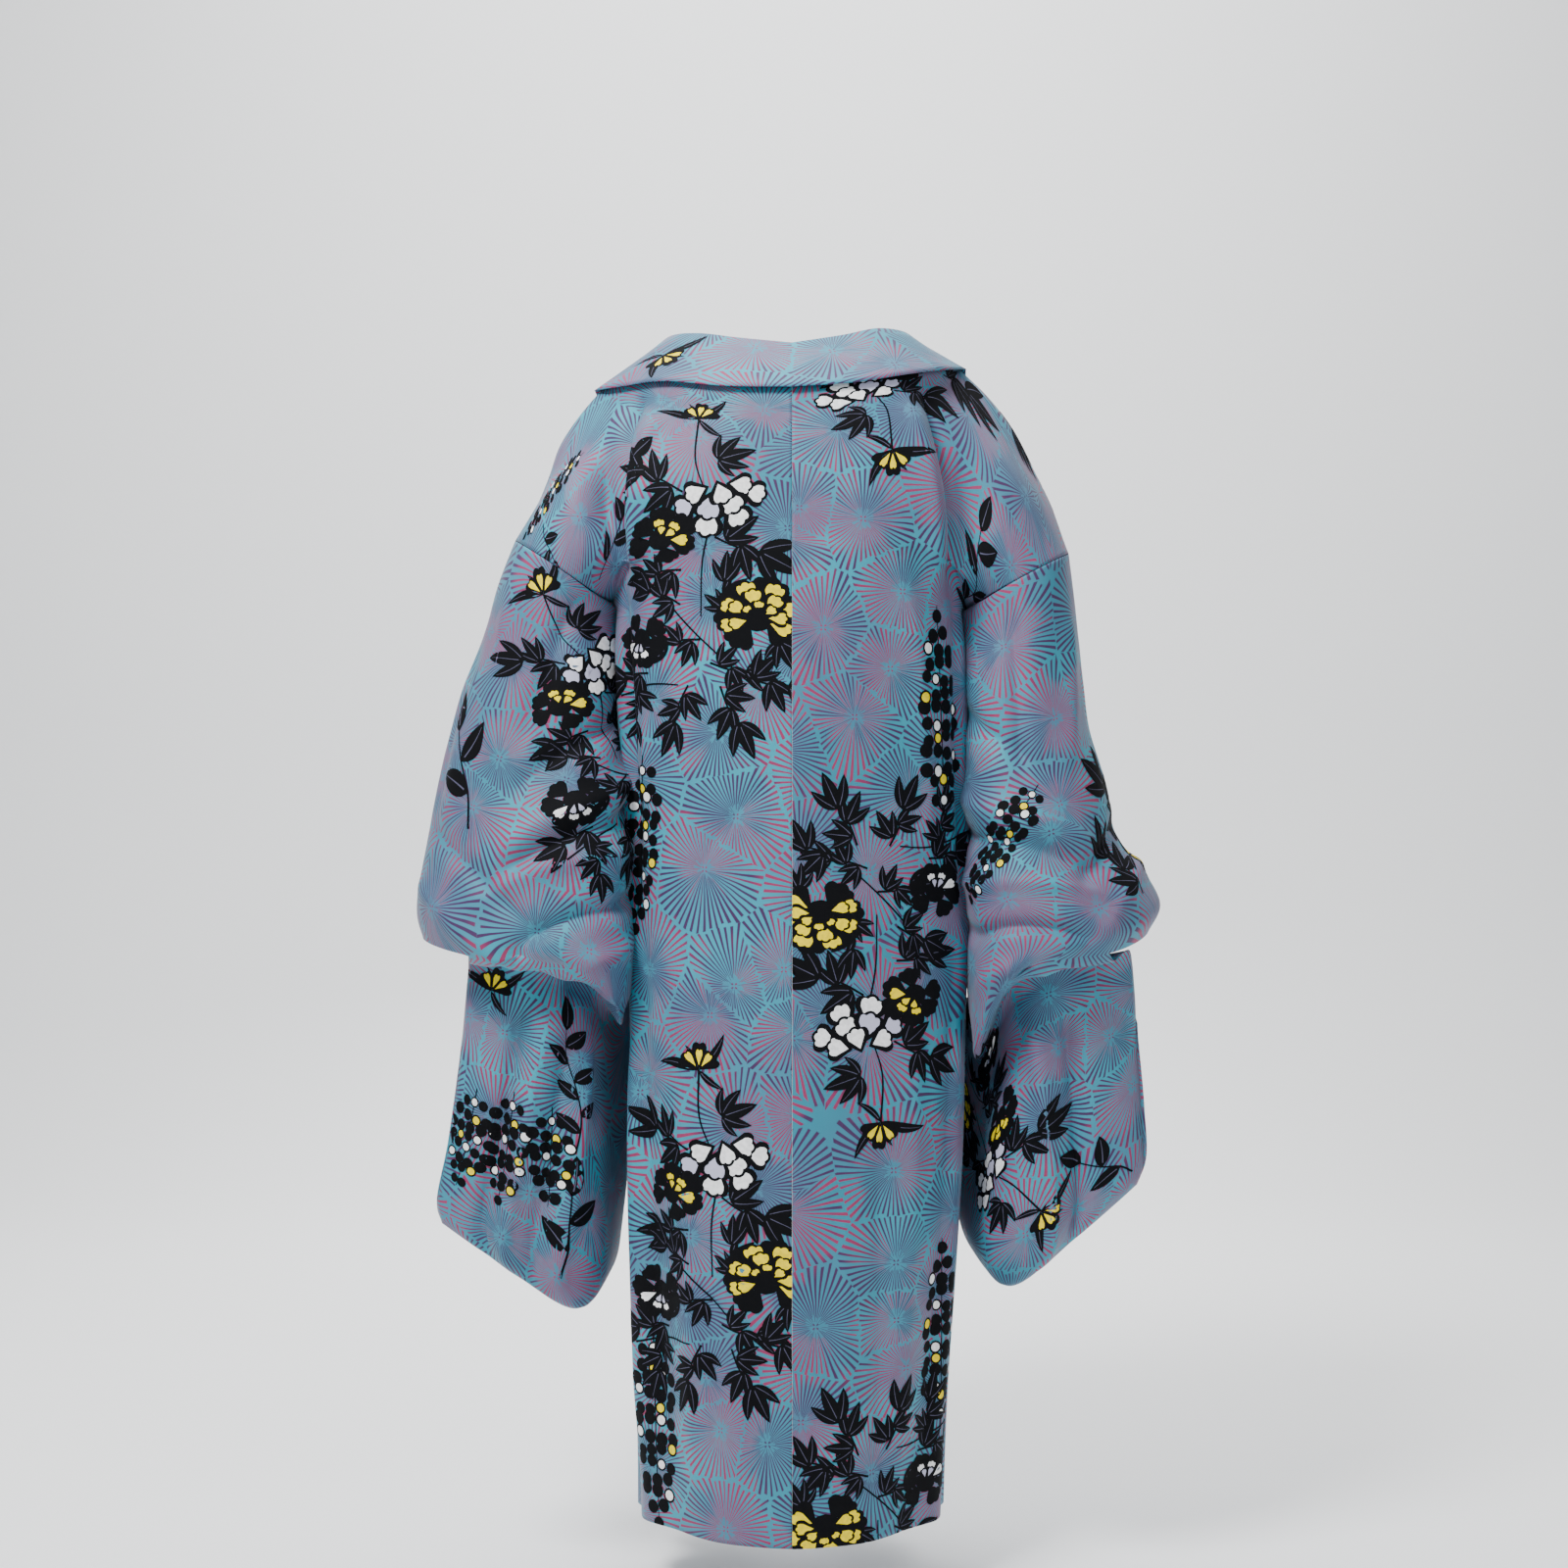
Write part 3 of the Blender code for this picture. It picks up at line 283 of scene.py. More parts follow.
# u runs from the sleeve's outer edge and is positive over the back of the arm.
SLEEVE_CREASES = {
    "left": [
        (130, 20, 120, 170, -6, -6, 10), (60, 40, 100, 200, -8, 4.5, 13),
        (230, 100, 120, 220, -10, -7, 11), (260, 160, 120, 280, -12, 7.5, 13),
        (270, 190, 130, 290, -14, -8.5, 9), (270, 230, 110, 320, -14, 6, 9),
        (280, 270, 130, 370, -12, -9, 8), (280, 310, 150, 410, -8, 5.5, 9),
        (280, 350, 200, 430, -6, -7.5, 8), (20, 270, 170, 330, 8, -5.5, 9), (20, 320, 150, 370, 8, 5, 10),
        (20, 100, 30, 260, -6, -4.5, 12), (-60, 50, -70, 320, -6, -6, 12),
        (-120, 100, -100, 340, -6, 6, 13), (-160, 200, -80, 300, 8, -6, 10),
        (60, 470, 50, 720, -4, 4.5, 13), (160, 450, 150, 740, -4, -10.5, 7),
        (185, 450, 175, 760, -4, 8.5, 8), (210, 450, 200, 740, -4, -10, 7),
        (235, 460, 230, 700, -4, 6.5, 8), (120, 470, 110, 660, -4, -4.5, 11),
        (-100, 440, -90, 660, -4, -6, 11),
    ],
    "right": [
        (120, 20, 130, 180, -6, -5.5, 10), (50, 50, 80, 190, -8, 4.5, 13),
        (200, 100, 100, 200, -10, -6.5, 11), (240, 170, 80, 270, -12, 7, 13),
        (250, 210, 100, 280, -14, -8.5, 9), (260, 250, 100, 310, -14, 6, 9),
        (260, 290, 120, 350, -10, -8.5, 8), (260, 330, 150, 380, -8, 5.5, 9),
        (0, 260, 120, 300, 8, -6, 9), (0, 300, 120, 340, 8, 5, 10), (20, 100, 20, 240, -6, -4.5, 12),
        (-60, 60, -80, 300, -6, -6, 12), (-120, 120, -110, 320, -6, 6, 13),
        (-150, 180, -70, 280, 8, -6, 10), (60, 450, 50, 680, -4, 4.5, 13),
        (170, 440, 180, 700, -4, -11.5, 8), (200, 440, 210, 700, -4, 9, 9),
        (110, 460, 100, 640, -4, -4.5, 11), (-100, 420, -90, 620, -4, -6, 11),
    ],
}


# ---- small helpers ---------------------------------------------------------
def smooth_step(value):
    """0 below 0, 1 above 1, smooth between."""
    value = np.clip(value, 0.0, 1.0)
    return value * value * (3.0 - 2.0 * value)


def curve_through(knots, rows, at):
    """Smooth curve through rows (one for each knot), read at the values in at."""
    knots, rows = np.asarray(knots, float), np.asarray(rows, float)
    at = np.atleast_1d(np.asarray(at, float))
    slopes = np.gradient(rows, knots, axis=0)
    index = np.clip(np.searchsorted(knots, at, side="right") - 1, 0, len(knots) - 2)
    span = knots[index + 1] - knots[index]
    share = (at - knots[index]) / span
    extra = (-1,) + (1,) * (rows.ndim - 1)
    share, span = share.reshape(extra), span.reshape(extra)
    return ((2 * share**3 - 3 * share**2 + 1) * rows[index]
            + (share**3 - 2 * share**2 + share) * span * slopes[index]
            + (-2 * share**3 + 3 * share**2) * rows[index + 1]
            + (share**3 - share**2) * span * slopes[index + 1])


def points(*columns):
    """Columns of x, y and z as an array of points."""
    return np.stack([np.asarray(column, float) for column in columns], axis=-1)


def unit(ways):
    """The ways with length 1."""
    return ways / np.linalg.norm(ways, axis=-1)[..., None]


def along(line):
    """Running length along a line of points."""
    return np.concatenate([[0.0], np.cumsum(np.linalg.norm(np.diff(line, axis=0), axis=1))])


def by_length(line, across):
    """A smooth curve through points, read at shares of its length."""
    line = np.asarray(line, float)
    length = along(line)
    return curve_through(length / length[-1], line, across)


def read_line(line, length, where):
    """Points of a line at running lengths."""
    return np.stack([np.interp(where, length, column) for column in line.T], axis=1)


def left_of(line, length, where, step):
    """Unit ways to the left of a line seen from above, at running lengths."""
    ahead, behind = read_line(line, length, where + step), read_line(line, length, where - step)
    way = unit((ahead - behind)[:, :2])
    return np.stack([-way[:, 1], way[:, 0]], axis=1)


# ---- the body below the armhole --------------------------------------------
def body_value(name, height):
    """One row of the BODY table at a height."""
    return float(curve_through(-np.array(BODY["z"]), BODY[name], -height)[0])


def half_section(side, height):
    """Half the body at one height, from centre back to centre front, and its running length."""
    half = body_value(side, height)
    turn = np.linspace(0.0, np.pi / 2, QUARTER_STEPS + 1)
    line = []
    for name, first, second in (("back", np.sin(turn), np.cos(turn)), ("front", np.cos(turn), np.sin(turn))):
        power = 2 / body_value(name + "_round", height)
        line.append(np.stack([half * first ** power, body_value(name, height) * second ** power], axis=1))
    line = np.concatenate([line[0], line[1][1:]])
    return line, along(line)


def section_marks(side, height):
    """Running lengths to the back seam, the front seam and the collar seam."""
    line, length = half_section(side, height)
    back_end = length[QUARTER_STEPS] + SIDE_SEAM
    fore_x, fore_length = -line[QUARTER_STEPS:, 0], length[QUARTER_STEPS:]
    front_end = float(np.interp(-body_value("seam", height), fore_x, fore_length))
    return back_end, back_end + body_value("gusset", height), front_end


def section_row(side, height, start, end, across, folds=()):
    """A row of points on the body at one height, between two running lengths."""
    lengths = start + (end - start) * across
    line, length = half_section(side, height)
    normal = left_of(line, length, lengths, SECTION_STEP)
    offset = np.zeros_like(across)
    for at, depth, wide, top, full in folds:
        grown = smooth_step((top - height) / (top - full))
        offset += depth * grown * np.exp(-((across - at) / wide) ** 2)
    back_end, front_start, _ = section_marks(side, height)
    reach = np.abs(lengths - 0.5 * (back_end + front_start)) / PLEAT_REACH
    offset -= body_value("pleat", height) * np.clip(1 - reach, 0, 1)
    spots = read_line(line, length, lengths) + normal * offset[:, None]
    return points(spots[:, 0], spots[:, 1], np.full(len(spots), height))


def down_share(height):
    """A height below the armhole as a row: 1 at the armhole's bottom, 2 at the hem."""
    return 1.0 + (ARMHOLE_Z - height) / (ARMHOLE_Z - HEM_Z)


ROW_KNOTS = [0.0, *SHARES, *(down_share(height) for height in SECTION_HEIGHTS)]


# ---- the armhole, the shoulder and the panels ------------------------------
def armhole_ring(side, angle):
    """Point of the armhole seam: 0 is the outer edge, 180 the bottom, positive the back."""
    out, low = SHOULDER[side]["out"], SHOULDER[side]["low"]
    angle = np.radians(np.asarray(angle, float))
    share = 0.5 * (1 - np.cos(angle))
    depth = np.where(angle > 0, ARMHOLE_BACK, ARMHOLE_FRONT)
    x, z = (out[k] + (low[k] - out[k]) * share for k in (0, 1))
    return points(x, depth * np.sin(angle), z)


def shoulder_fold(side, across):
    """The fold over the shoulder, from the neck point (0) to the armhole (1)."""
    ends = SHOULDER[side]["crest"] + [SHOULDER[side]["out"]]
    return by_length([(x, 0.0, z) for x, z in ends], across)


def finish_panel(side, keys, across, rows, whole_turn):
    """A panel from its key rows, its armhole edge brought onto the ring."""
    sheet = curve_through(ROW_KNOTS, np.array(keys), rows)
    ease = smooth_step((across - ARMHOLE_EASE) / (1 - ARMHOLE_EASE))[:, None]
    for row in np.flatnonzero(rows < 1.0):
        sheet[row] += (armhole_ring(side, whole_turn * rows[row]) - sheet[row, -1]) * ease
    return sheet


def back_panel(side, across, rows):
    """The back of a body panel: across from the centre (0) to the side (1).

    rows holds the distances down: 0 the shoulder, 1 the armhole bottom, 2 the hem.
    """
    data = SHOULDER[side]
    neck_share = BACK_NECK_STEPS / (BACK_NECK_STEPS + SHOULDER_STEPS)
    neck_part = by_length(NECK[side]["seam"], np.clip(across / neck_share, 0, 1))
    arm_part = shoulder_fold(side, np.clip((across - neck_share) / (1 - neck_share), 0, 1))
    keys = [np.where((across <= neck_share)[:, None], neck_part, arm_part)]
    for k, share in enumerate(SHARES):
        mid, blade = np.array(BACK_MIDDLE[k]), np.array(data["blade"][k])
        half = 0.5 * (mid + blade) + (0.0, HALF_OUT, 0.0)
        half[0] = HALF_BLADE * blade[0]
        line = [mid, half, blade, data["crease"][k], data["lobe"][k], armhole_ring(side, 180.0 * share)]
        keys.append(curve_through(data["stations"], np.array(line), across))
    for height in SECTION_HEIGHTS:
        keys.append(section_row(side, height, 0.0, section_marks(side, height)[0], across, BACK_FOLDS))
    return finish_panel(side, keys, across, rows, 180.0)


def front_panel(side, across, rows):
    """The front half, from the collar seam (0) to the side (1); rows as for the back."""
    keys = [shoulder_fold(side, across)]
    for k, share in enumerate(SHARES):
        line = [FRONT_NECK[name][k] for name in ("seam", "blade", "crease", "lobe")]
        line.append(armhole_ring(side, -180.0 * share))
        keys.append(curve_through(FRONT_STATIONS, np.array(line), across))
    for height in SECTION_HEIGHTS:
        _, front_start, front_end = section_marks(side, height)
        keys.append(section_row(side, height, front_end, front_start, across, FRONT_FOLDS))
    return finish_panel(side, keys, across, rows, -180.0)


def gusset_panel(side, across, rows):
    """The gusset, from the back seam (0) to the front seam (1); rows 1 to 2."""
    keys = [section_row(side, height, *section_marks(side, height)[:2], across)
            for height in SECTION_HEIGHTS]
    return curve_through(ROW_KNOTS[-len(keys):], np.array(keys), rows)


def panel_rows():
    """Rows from the shoulder (0) by the armhole bottom (1) to the hem (2)."""
    return np.concatenate([np.linspace(0, 1, TOP_ROWS + 1), np.linspace(1, 2, LOW_ROWS + 1)[1:]])


# ---- the sleeve ------------------------------------------------------------
def sleeve_ring(side, row, angles):
    """One ring of the sleeve: row 0 is the armhole, 1 the rim over the wrist."""
    data, hole = SLEEVE[side], SHOULDER[side]
    rings = [(*hole["out"], *hole["low"], ARMHOLE_BACK, -ARMHOLE_FRONT)]
    rings += [(*out, *inner, *depths) for out, inner, *depths
              in zip(data["out"], data["in"], SLEEVE_BACK, SLEEVE_FRONT)]
    knots = np.linspace(0.0, 1.0, len(rings))
    out_x, out_z, in_x, in_z, back, front = curve_through(knots, rings, row)[0]
    angles = np.radians(angles)
    haste = np.where(angles > 0, 1 + BACK_HASTE * smooth_step(row * 3), 1.0)
    share = 0.5 * (1 - np.cos(angles * haste))
    back_lift = data["lift"] * share**1.5 * (1 - share**8) * row**5
    front_lift = data["front_lift"] * row**4 * smooth_step(-angles / FRONT_LIFT_TURN)
    height = out_z + (in_z - out_z) * share + np.where(angles > 0, back_lift, front_lift)
    depth = np.where(angles > 0, back, -front) * np.sin(angles)
    return points(out_x + (in_x - out_x) * share, depth, height)


def bag_line(side, drop, across):
    """The middle line of the bag at one drop (0 top, 1 bottom), from its outer edge inward.

    Returns the points and the horizontal ways that point to the back layer.
    """
    edge, bend, inner = (curve_through(BAG_DROPS, SLEEVE[side][name], drop)[0]
                         for name in ("edge", "bend", "inner"))
    start, stop = (bend + unit(end - bend) * BAG_BEND_RADIUS for end in (edge, inner))
    arc = np.linspace(0, 1, CORNER_STEPS + 1)[:, None]
    corner = (1 - arc) ** 2 * start + 2 * arc * (1 - arc) * bend + arc**2 * stop
    line = np.concatenate([edge[None], corner, inner[None]])
    length = along(line)
    where = np.asarray(across) * length[-1]
    return read_line(line, length, where), -left_of(line, length, where, BAG_STEP)


def bag_layer(side, drop, across, sign):
    """One layer of the bag (sign 1 back, -1 front) at one drop."""
    line, way = bag_line(side, drop, across)
    rounded = np.sqrt(1 - (1 - np.clip(across / BAG_END_ROUND, 0, 1)) ** 2)
    closing = np.clip((drop - BAG_CLOSES) / (1 - BAG_CLOSES), 0, 1)
    half = BAG_HALF_DEPTH * rounded * np.sqrt(np.clip(1 - closing ** 2, 0, 1))
    line[:, :2] += sign * way * half[:, None]
    return line


def hanging_back(side, drop, across, rim):
    """The back layer of the bag, which starts below the rim at every column."""
    layer, first, last = (bag_layer(side, level, across, 1) for level in (drop, 0.0, 1.0))
    first, last = first[:, 2], last[:, 2]
    start = np.minimum(first, rim[:, 2] - BAG_BELOW_RIM)
    for _ in range(SMOOTHINGS):
        start[1:-1] = 0.25 * start[:-2] + 0.5 * start[1:-1] + 0.25 * start[2:]
    layer[:, 2] = last + (layer[:, 2] - last) * (last - start) / (last - first)
    return layer


def hanging_front(side, drop, across, rim):
    """The front layer of the bag: it hangs from the rim and closes on the back layer."""
    layer = bag_layer(side, drop, across, -1)
    grown = OPENING_SHARE + OPENING_MORE * smooth_step(across / OPENING_WIDE)
    joined = smooth_step(drop / grown)[:, None]
    layer[:, :2] = rim[:, :2] + (layer[:, :2] - rim[:, :2]) * joined
    return layer


# ---- the collar ------------------------------------------------------------
def collar_stations(side):
    """Seam and fold points of half the collar, from the centre back to the hem."""
    neck = np.linspace(0.0, 1.0, BACK_NECK_STEPS + 1)
    seam, fold = (by_length(NECK[side][name], neck) for name in ("seam", "fold"))
    rows = panel_rows()[1:]
    keys = [fold[-1], *FRONT_NECK["fold"]]
    for height in COLLAR_HEIGHTS:
        line, length = half_section(side, height)
        where = section_marks(side, height)[2] + COLLAR_WIDTH
        keys.append((*read_line(line, length, [where])[0], height))
    knots = [0.0, *SHARES, *(down_share(height) for height in COLLAR_HEIGHTS)]
    fold_down = curve_through(knots, np.array(keys), rows)
    seam_down = front_panel(side, np.array([0.0]), rows)[:, 0]
    return np.concatenate([seam, seam_down]), np.concatenate([fold, fold_down])


def collar_rows():
    """The collar: one strip folded in two, its outer layer lapping over the panels."""
    left, right = collar_stations("left"), collar_stations("right")
    flip = np.array([-1.0, 1.0, 1.0])
    seam, fold = (np.concatenate([right[k][::-1] * flip, left[k][1:]]) for k in (0, 1))
    width = np.linalg.norm(fold - seam, axis=1)[:, None]
    way = (fold - seam) / width
    normal = unit(np.cross(np.gradient(seam + fold, axis=0), way))
    if normal[len(seam) // 2][1] < 0:
        normal = -normal
    turn = COLLAR_LAYERS / 2
    profile = [(COLLAR_SEAM_GAP, 0.0)] + [(width * share, 0.0) for share in SHARES]
    profile += [(width - turn + turn * np.cos(angle), turn + turn * np.sin(angle))
                for angle in np.radians((-90, -30, 30, 90))]
    profile += [(width * share, COLLAR_LAYERS) for share in SHARES[::-1]]
    profile += [(0.0, COLLAR_LAYERS), (-COLLAR_LAP, COLLAR_LAYERS)]
    return np.array([seam + way * reach + normal * height for reach, height in profile])


# ---- a stretch of cloth ----------------------------------------------------
def crease_field(u, v, creases):
    """Sum of the listed creases at cloth positions u, v."""
    total = np.zeros_like(u)
    for u0, v0, u1, v1, bow, depth, wide in np.array(creases) * MILLIMETRE:
        run = np.array([u1 - u0, v1 - v0])
        length = np.hypot(*run)
        run = run / length
        share = np.clip(((u - u0) * run[0] + (v - v0) * run[1]) / length, -0.3, 1.3)
        beside = (u - u0) * run[1] - (v - v0) * run[0] - bow * 4 * share * (1 - share)
        first, last = (np.clip((past + CREASE_PAST) / CREASE_FADE, 0, 1) for past in (share, 1 - share))
        total += depth * smooth_step(first * last) * np.exp(-np.abs(beside / wide) ** CREASE_ROUND)
    return total


def slope(grid, axis):
    """Differences along an axis of a grid, one-sided beside empty cells."""
    step = np.diff(np.moveaxis(grid, axis, 0), axis=0)
    blank = np.full_like(step[:1], np.nan)
    ahead, behind = np.concatenate([step, blank]), np.concatenate([blank, step])
    both = 0.5 * (ahead + behind)
    both = np.where(np.isnan(both), np.where(np.isnan(ahead), behind, ahead), both)
    return np.moveaxis(both, 0, axis)


class Sheet:
    """A grid of points with the cloth's own coordinates u (across) and v (down)."""

    def __init__(self, grid, u, v, test_row, inside):
        self.grid, self.u, self.v = grid, u, v
        self.test_row, self.inside = test_row, np.array(inside)
        self.update()

    def update(self):
        """Outward normals; test_row is a row that goes round the point inside."""
        normal = np.cross(slope(self.grid, 1), slope(self.grid, 0))
        size = np.linalg.norm(normal, axis=2)[:, :, None]
        normal = normal / np.where(size > 1e-12, size, 1.0)
        away = self.grid[self.test_row] - self.inside
        away[:, 2] = 0
        outward = np.nansum(normal[self.test_row] * away) >= 0
        self.normal = normal if outward else -normal

    def crease(self, creases, keep):
        """Push the points out or in by the creases; keep (0 to 1) holds edges still."""
        offset = crease_field(self.u, np.broadcast_to(self.v, self.u.shape), creases) * keep
        self.grid = self.grid + self.normal * offset[:, :, None]
        self.update()

    def edge_hold(self, wide=EDGE_HOLD):
        """1 inside the sheet, easing to 0 at its side edges, so that seams stay closed."""
        low, high = (edge(self.u, axis=1)[:, None] for edge in (np.nanmin, np.nanmax))
        return smooth_step(np.minimum(self.u - low, high - self.u) / wide)

    def at(self, u, v):
        """Points and normals at cloth positions."""
        row = np.interp(v, self.v[:, 0], np.arange(len(self.v)))
        first = np.clip(row.astype(int), 0, len(self.v) - 2)
        part = (row - first)[:, None]
        spot, way = self.on_row(first, u) * (1 - part) + self.on_row(first + 1, u) * part
        return spot, way / np.maximum(np.linalg.norm(way, axis=1), 1e-9)[:, None]

    def on_row(self, rows, u):
        """Points and normals on given rows of the grid at cloth positions across."""
        found = np.empty((2, len(u), 3))
        for row in np.unique(rows):
            mask = rows == row
            index = np.flatnonzero(~np.isnan(self.u[row]))
            if self.u[row, index[0]] > self.u[row, index[-1]]:
                index = index[::-1]
            values = self.u[row, index]
            column = np.interp(np.clip(u[mask], values[0], values[-1]), values, index)
            low = np.clip(np.floor(column).astype(int), index.min(), index.max() - 1)
            part = (column - low)[:, None]
            for k, source in enumerate((self.grid[row], self.normal[row])):
                found[k, mask] = source[low] * (1 - part) + source[low + 1] * part
        return found


def row_lengths(grid):
    """Running length along every row of a grid."""
    steps = np.linalg.norm(np.diff(grid, axis=1), axis=2)
    return np.concatenate([np.zeros((len(grid), 1)), np.cumsum(steps, axis=1)], axis=1)


def down_lengths(grid):
    """Running length down a grid, the middle value of its columns."""
    steps = np.nanmedian(np.linalg.norm(np.diff(grid, axis=0), axis=2), axis=1)
    return np.concatenate([[0.0], np.cumsum(steps)])[:, None]


def plain_sheet(grid, test_row, inside=(0.0, -0.02, 0.0)):
    """A sheet whose cloth coordinates are measured along its rows and down it."""
    return Sheet(grid, row_lengths(grid), down_lengths(grid), test_row, inside)


def body_sheets(side):
    """The back and the front of one body panel."""
    rows, test_row = panel_rows(), TOP_ROWS + LOW_ROWS // 2
    across, front_across = (np.linspace(0, 1, steps + 1)
                            for steps in (BACK_NECK_STEPS + SHOULDER_STEPS, SHOULDER_STEPS))
    across[-1] -= SEAM_GAP
    front_across[-1] -= SEAM_GAP
    back = back_panel(side, across, rows)
    back[:, 0, 0] = PANEL_START
    front = front_panel(side, front_across, rows)
    front[0] = back[0, BACK_NECK_STEPS:]
    return plain_sheet(back, test_row), plain_sheet(front, test_row)


def gusset_sheet(side):
    """The gusset, parted from the panels at both seams and from the armhole."""
    rows = panel_rows()[TOP_ROWS:]
    grid = gusset_panel(side, np.linspace(0, 1, GUSSET_STEPS + 1), rows)
    for edge, inner in ((0, 1), (-1, -2)):
        grid[:, edge] += unit(grid[:, inner] - grid[:, edge]) * GUSSET_GAP
    grid[0, :, 2] -= GUSSET_DROP
    return plain_sheet(grid, len(rows) // 2)


def collar_sheet():
    """The collar as one grid, its rows running along it."""
    grid = collar_rows().transpose(1, 0, 2)
    down = along(grid[:, grid.shape[1] // 2])[:, None]
    return Sheet(grid, row_lengths(grid), down, len(grid) // 2, (0.0, 0.0, 0.0))


def tube_row(side, share):
    """One ring of the sleeve from its inner back to its inner front edge."""
    back_end = BACK_EDGE + BACK_EDGE_MORE * smooth_step(share * 4)
    front_end = FRONT_EDGE - FRONT_EDGE_MORE * (1 - smooth_step(share * 3))
    angles = np.concatenate([
        np.linspace(back_end, CUFF_BACK, LAYER_STEPS + 1),
        np.linspace(CUFF_BACK, CUFF_FRONT, CUFF_STEPS + 1)[1:],
        np.linspace(CUFF_FRONT, front_end, LAYER_STEPS + 1)[1:]])
    ring = sleeve_ring(side, share, angles)
    if share == 0:
        clear = SLEEVE_CLEAR + UNDERARM_CLEAR * smooth_step((np.abs(angles) - 90) / UNDERARM_TURN)
        ring = ring + unit(sleeve_ring(side, CLEAR_WAY, angles) - ring) * clear[:, None]
    return ring


def tucked_rows(rim_back, rim_front, top_back, top_front):
    """The rows that turn in under the rim and lead down to the bag, back and front."""
    turn_in = np.linalg.norm(top_back[:, :2] - rim_back[:, :2], axis=1)
    tucked = np.clip((turn_in - TUCK_LEAST) / TUCK_LEAST, 0.0, 1.0)
    knots = np.linspace(0, 1, len(TUCK_IN))
    shares = np.linspace(0, 1, TUCK_ROWS + 2)[1:-1]
    for share, way_in, up in zip(shares, curve_through(knots, TUCK_IN, shares),
                                 curve_through(knots, TUCK_UP, shares)):
        turned = rim_back + (top_back - rim_back) * way_in
        turned[:, 2] = rim_back[:, 2] + (top_back[:, 2] - rim_back[:, 2]) * share + up * tucked
        yield turned, rim_front + (top_front - rim_front) * share


def bag_rows(side, across, rim_back, rim_front):
    """The rows of the bag, back and front; they meet in the last one."""
    drops = np.sort(np.concatenate([np.linspace(0, 1, BAG_ROWS + 1), [LAST_DROP]]))
    for drop in drops[:-1]:
        back = hanging_back(side, drop, across, rim_back[::-1])[::-1]
        front = hanging_front(side, drop, across, rim_front)
        if drop >= OPENING_SHARE:
            front[0] = back[-1]
        yield back, front
    closing = bag_line(side, 1.0, across)[0]
    yield closing[::-1], closing


def sleeve_sheet(side):
    """The sleeve as one grid; the cells of the hand opening below the rim are empty."""
    rim = TUBE_ROWS
    tube = [tube_row(side, row / rim) for row in range(rim + 1)]
    across = np.linspace(0.0, 1.0, LAYER_STEPS + 1)
    rim_back, rim_front = tube[rim][:FIRST_CUFF + 1], tube[rim][LAST_CUFF:]
    top_back = hanging_back(side, 0.0, across, rim_back[::-1])[::-1]
    top_front = hanging_front(side, 0.0, across, rim_front)
    layers = list(tucked_rows(rim_back, rim_front, top_back, top_front))
    layers += bag_rows(side, across, rim_back, rim_front)
    grid = np.full((rim + 1 + len(layers), LAST_CUFF + LAYER_STEPS + 1, 3), np.nan)
    grid[:rim + 1] = tube
    u = np.full(grid.shape[:2], np.nan)
    for row in range(rim + 1):
        run = along(grid[row])
        u[row] = run[(FIRST_CUFF + LAST_CUFF) // 2] - run
    for row, (back, front) in enumerate(layers, rim + 1):
        grid[row, :FIRST_CUFF + 1], grid[row, LAST_CUFF:] = back, front
        u[row, :FIRST_CUFF + 1] = u[rim, FIRST_CUFF] + along(back[::-1])[::-1]
        u[row, LAST_CUFF:] = u[rim, LAST_CUFF] - along(front)
    v = along(grid[:, LAYER_STEPS // 2])[:, None]
    return Sheet(grid, u, v, rim // 2, grid[rim // 2].mean(axis=0))


def lean_in(sheet):
    """Lean the inner part of a sleeve towards the body, as its slit hangs against it."""
    u = sheet.u[:TUBE_ROWS + 1]
    low, high = (edge(u, axis=1)[:, None] for edge in (np.nanmin, np.nanmax))
    near = smooth_step(1 - (np.abs(np.where(u < 0, low, high)) - np.abs(u)) / INNER_WIDE)
    down = np.linspace(0, 1, TUBE_ROWS + 1)[:, None]
    held = smooth_step(down / LEAN_GROWS) * smooth_step((1 - down) / LEAN_FADES)
    sheet.grid[:TUBE_ROWS + 1, :, 0] -= INNER_REACH * near * held
    sheet.update()


# ---- where things lie in the camera's picture ------------------------------
PICTURE = 1600             # width and height of the picture in its own points
LENS, SENSOR = 50.0, 36.0
CAMERA = (0.007, 2.0, -0.40)
DEPTH_WEIGHT = 40.0        # picture points that one metre nearer to the camera is worth
FACING = 0.05              # least share of a normal that points to the camera
ROW_REACH = 4              # rows above and below a place that give its downward way


def in_picture(spots):
    """Picture position of points."""
    scale = LENS / SENSOR * PICTURE / (CAMERA[1] - spots[..., 1])
    return np.stack([PICTURE / 2 - (spots[..., 0] - CAMERA[0]) * scale,
                     PICTURE / 2 - (spots[..., 2] - CAMERA[2]) * scale], axis=-1)


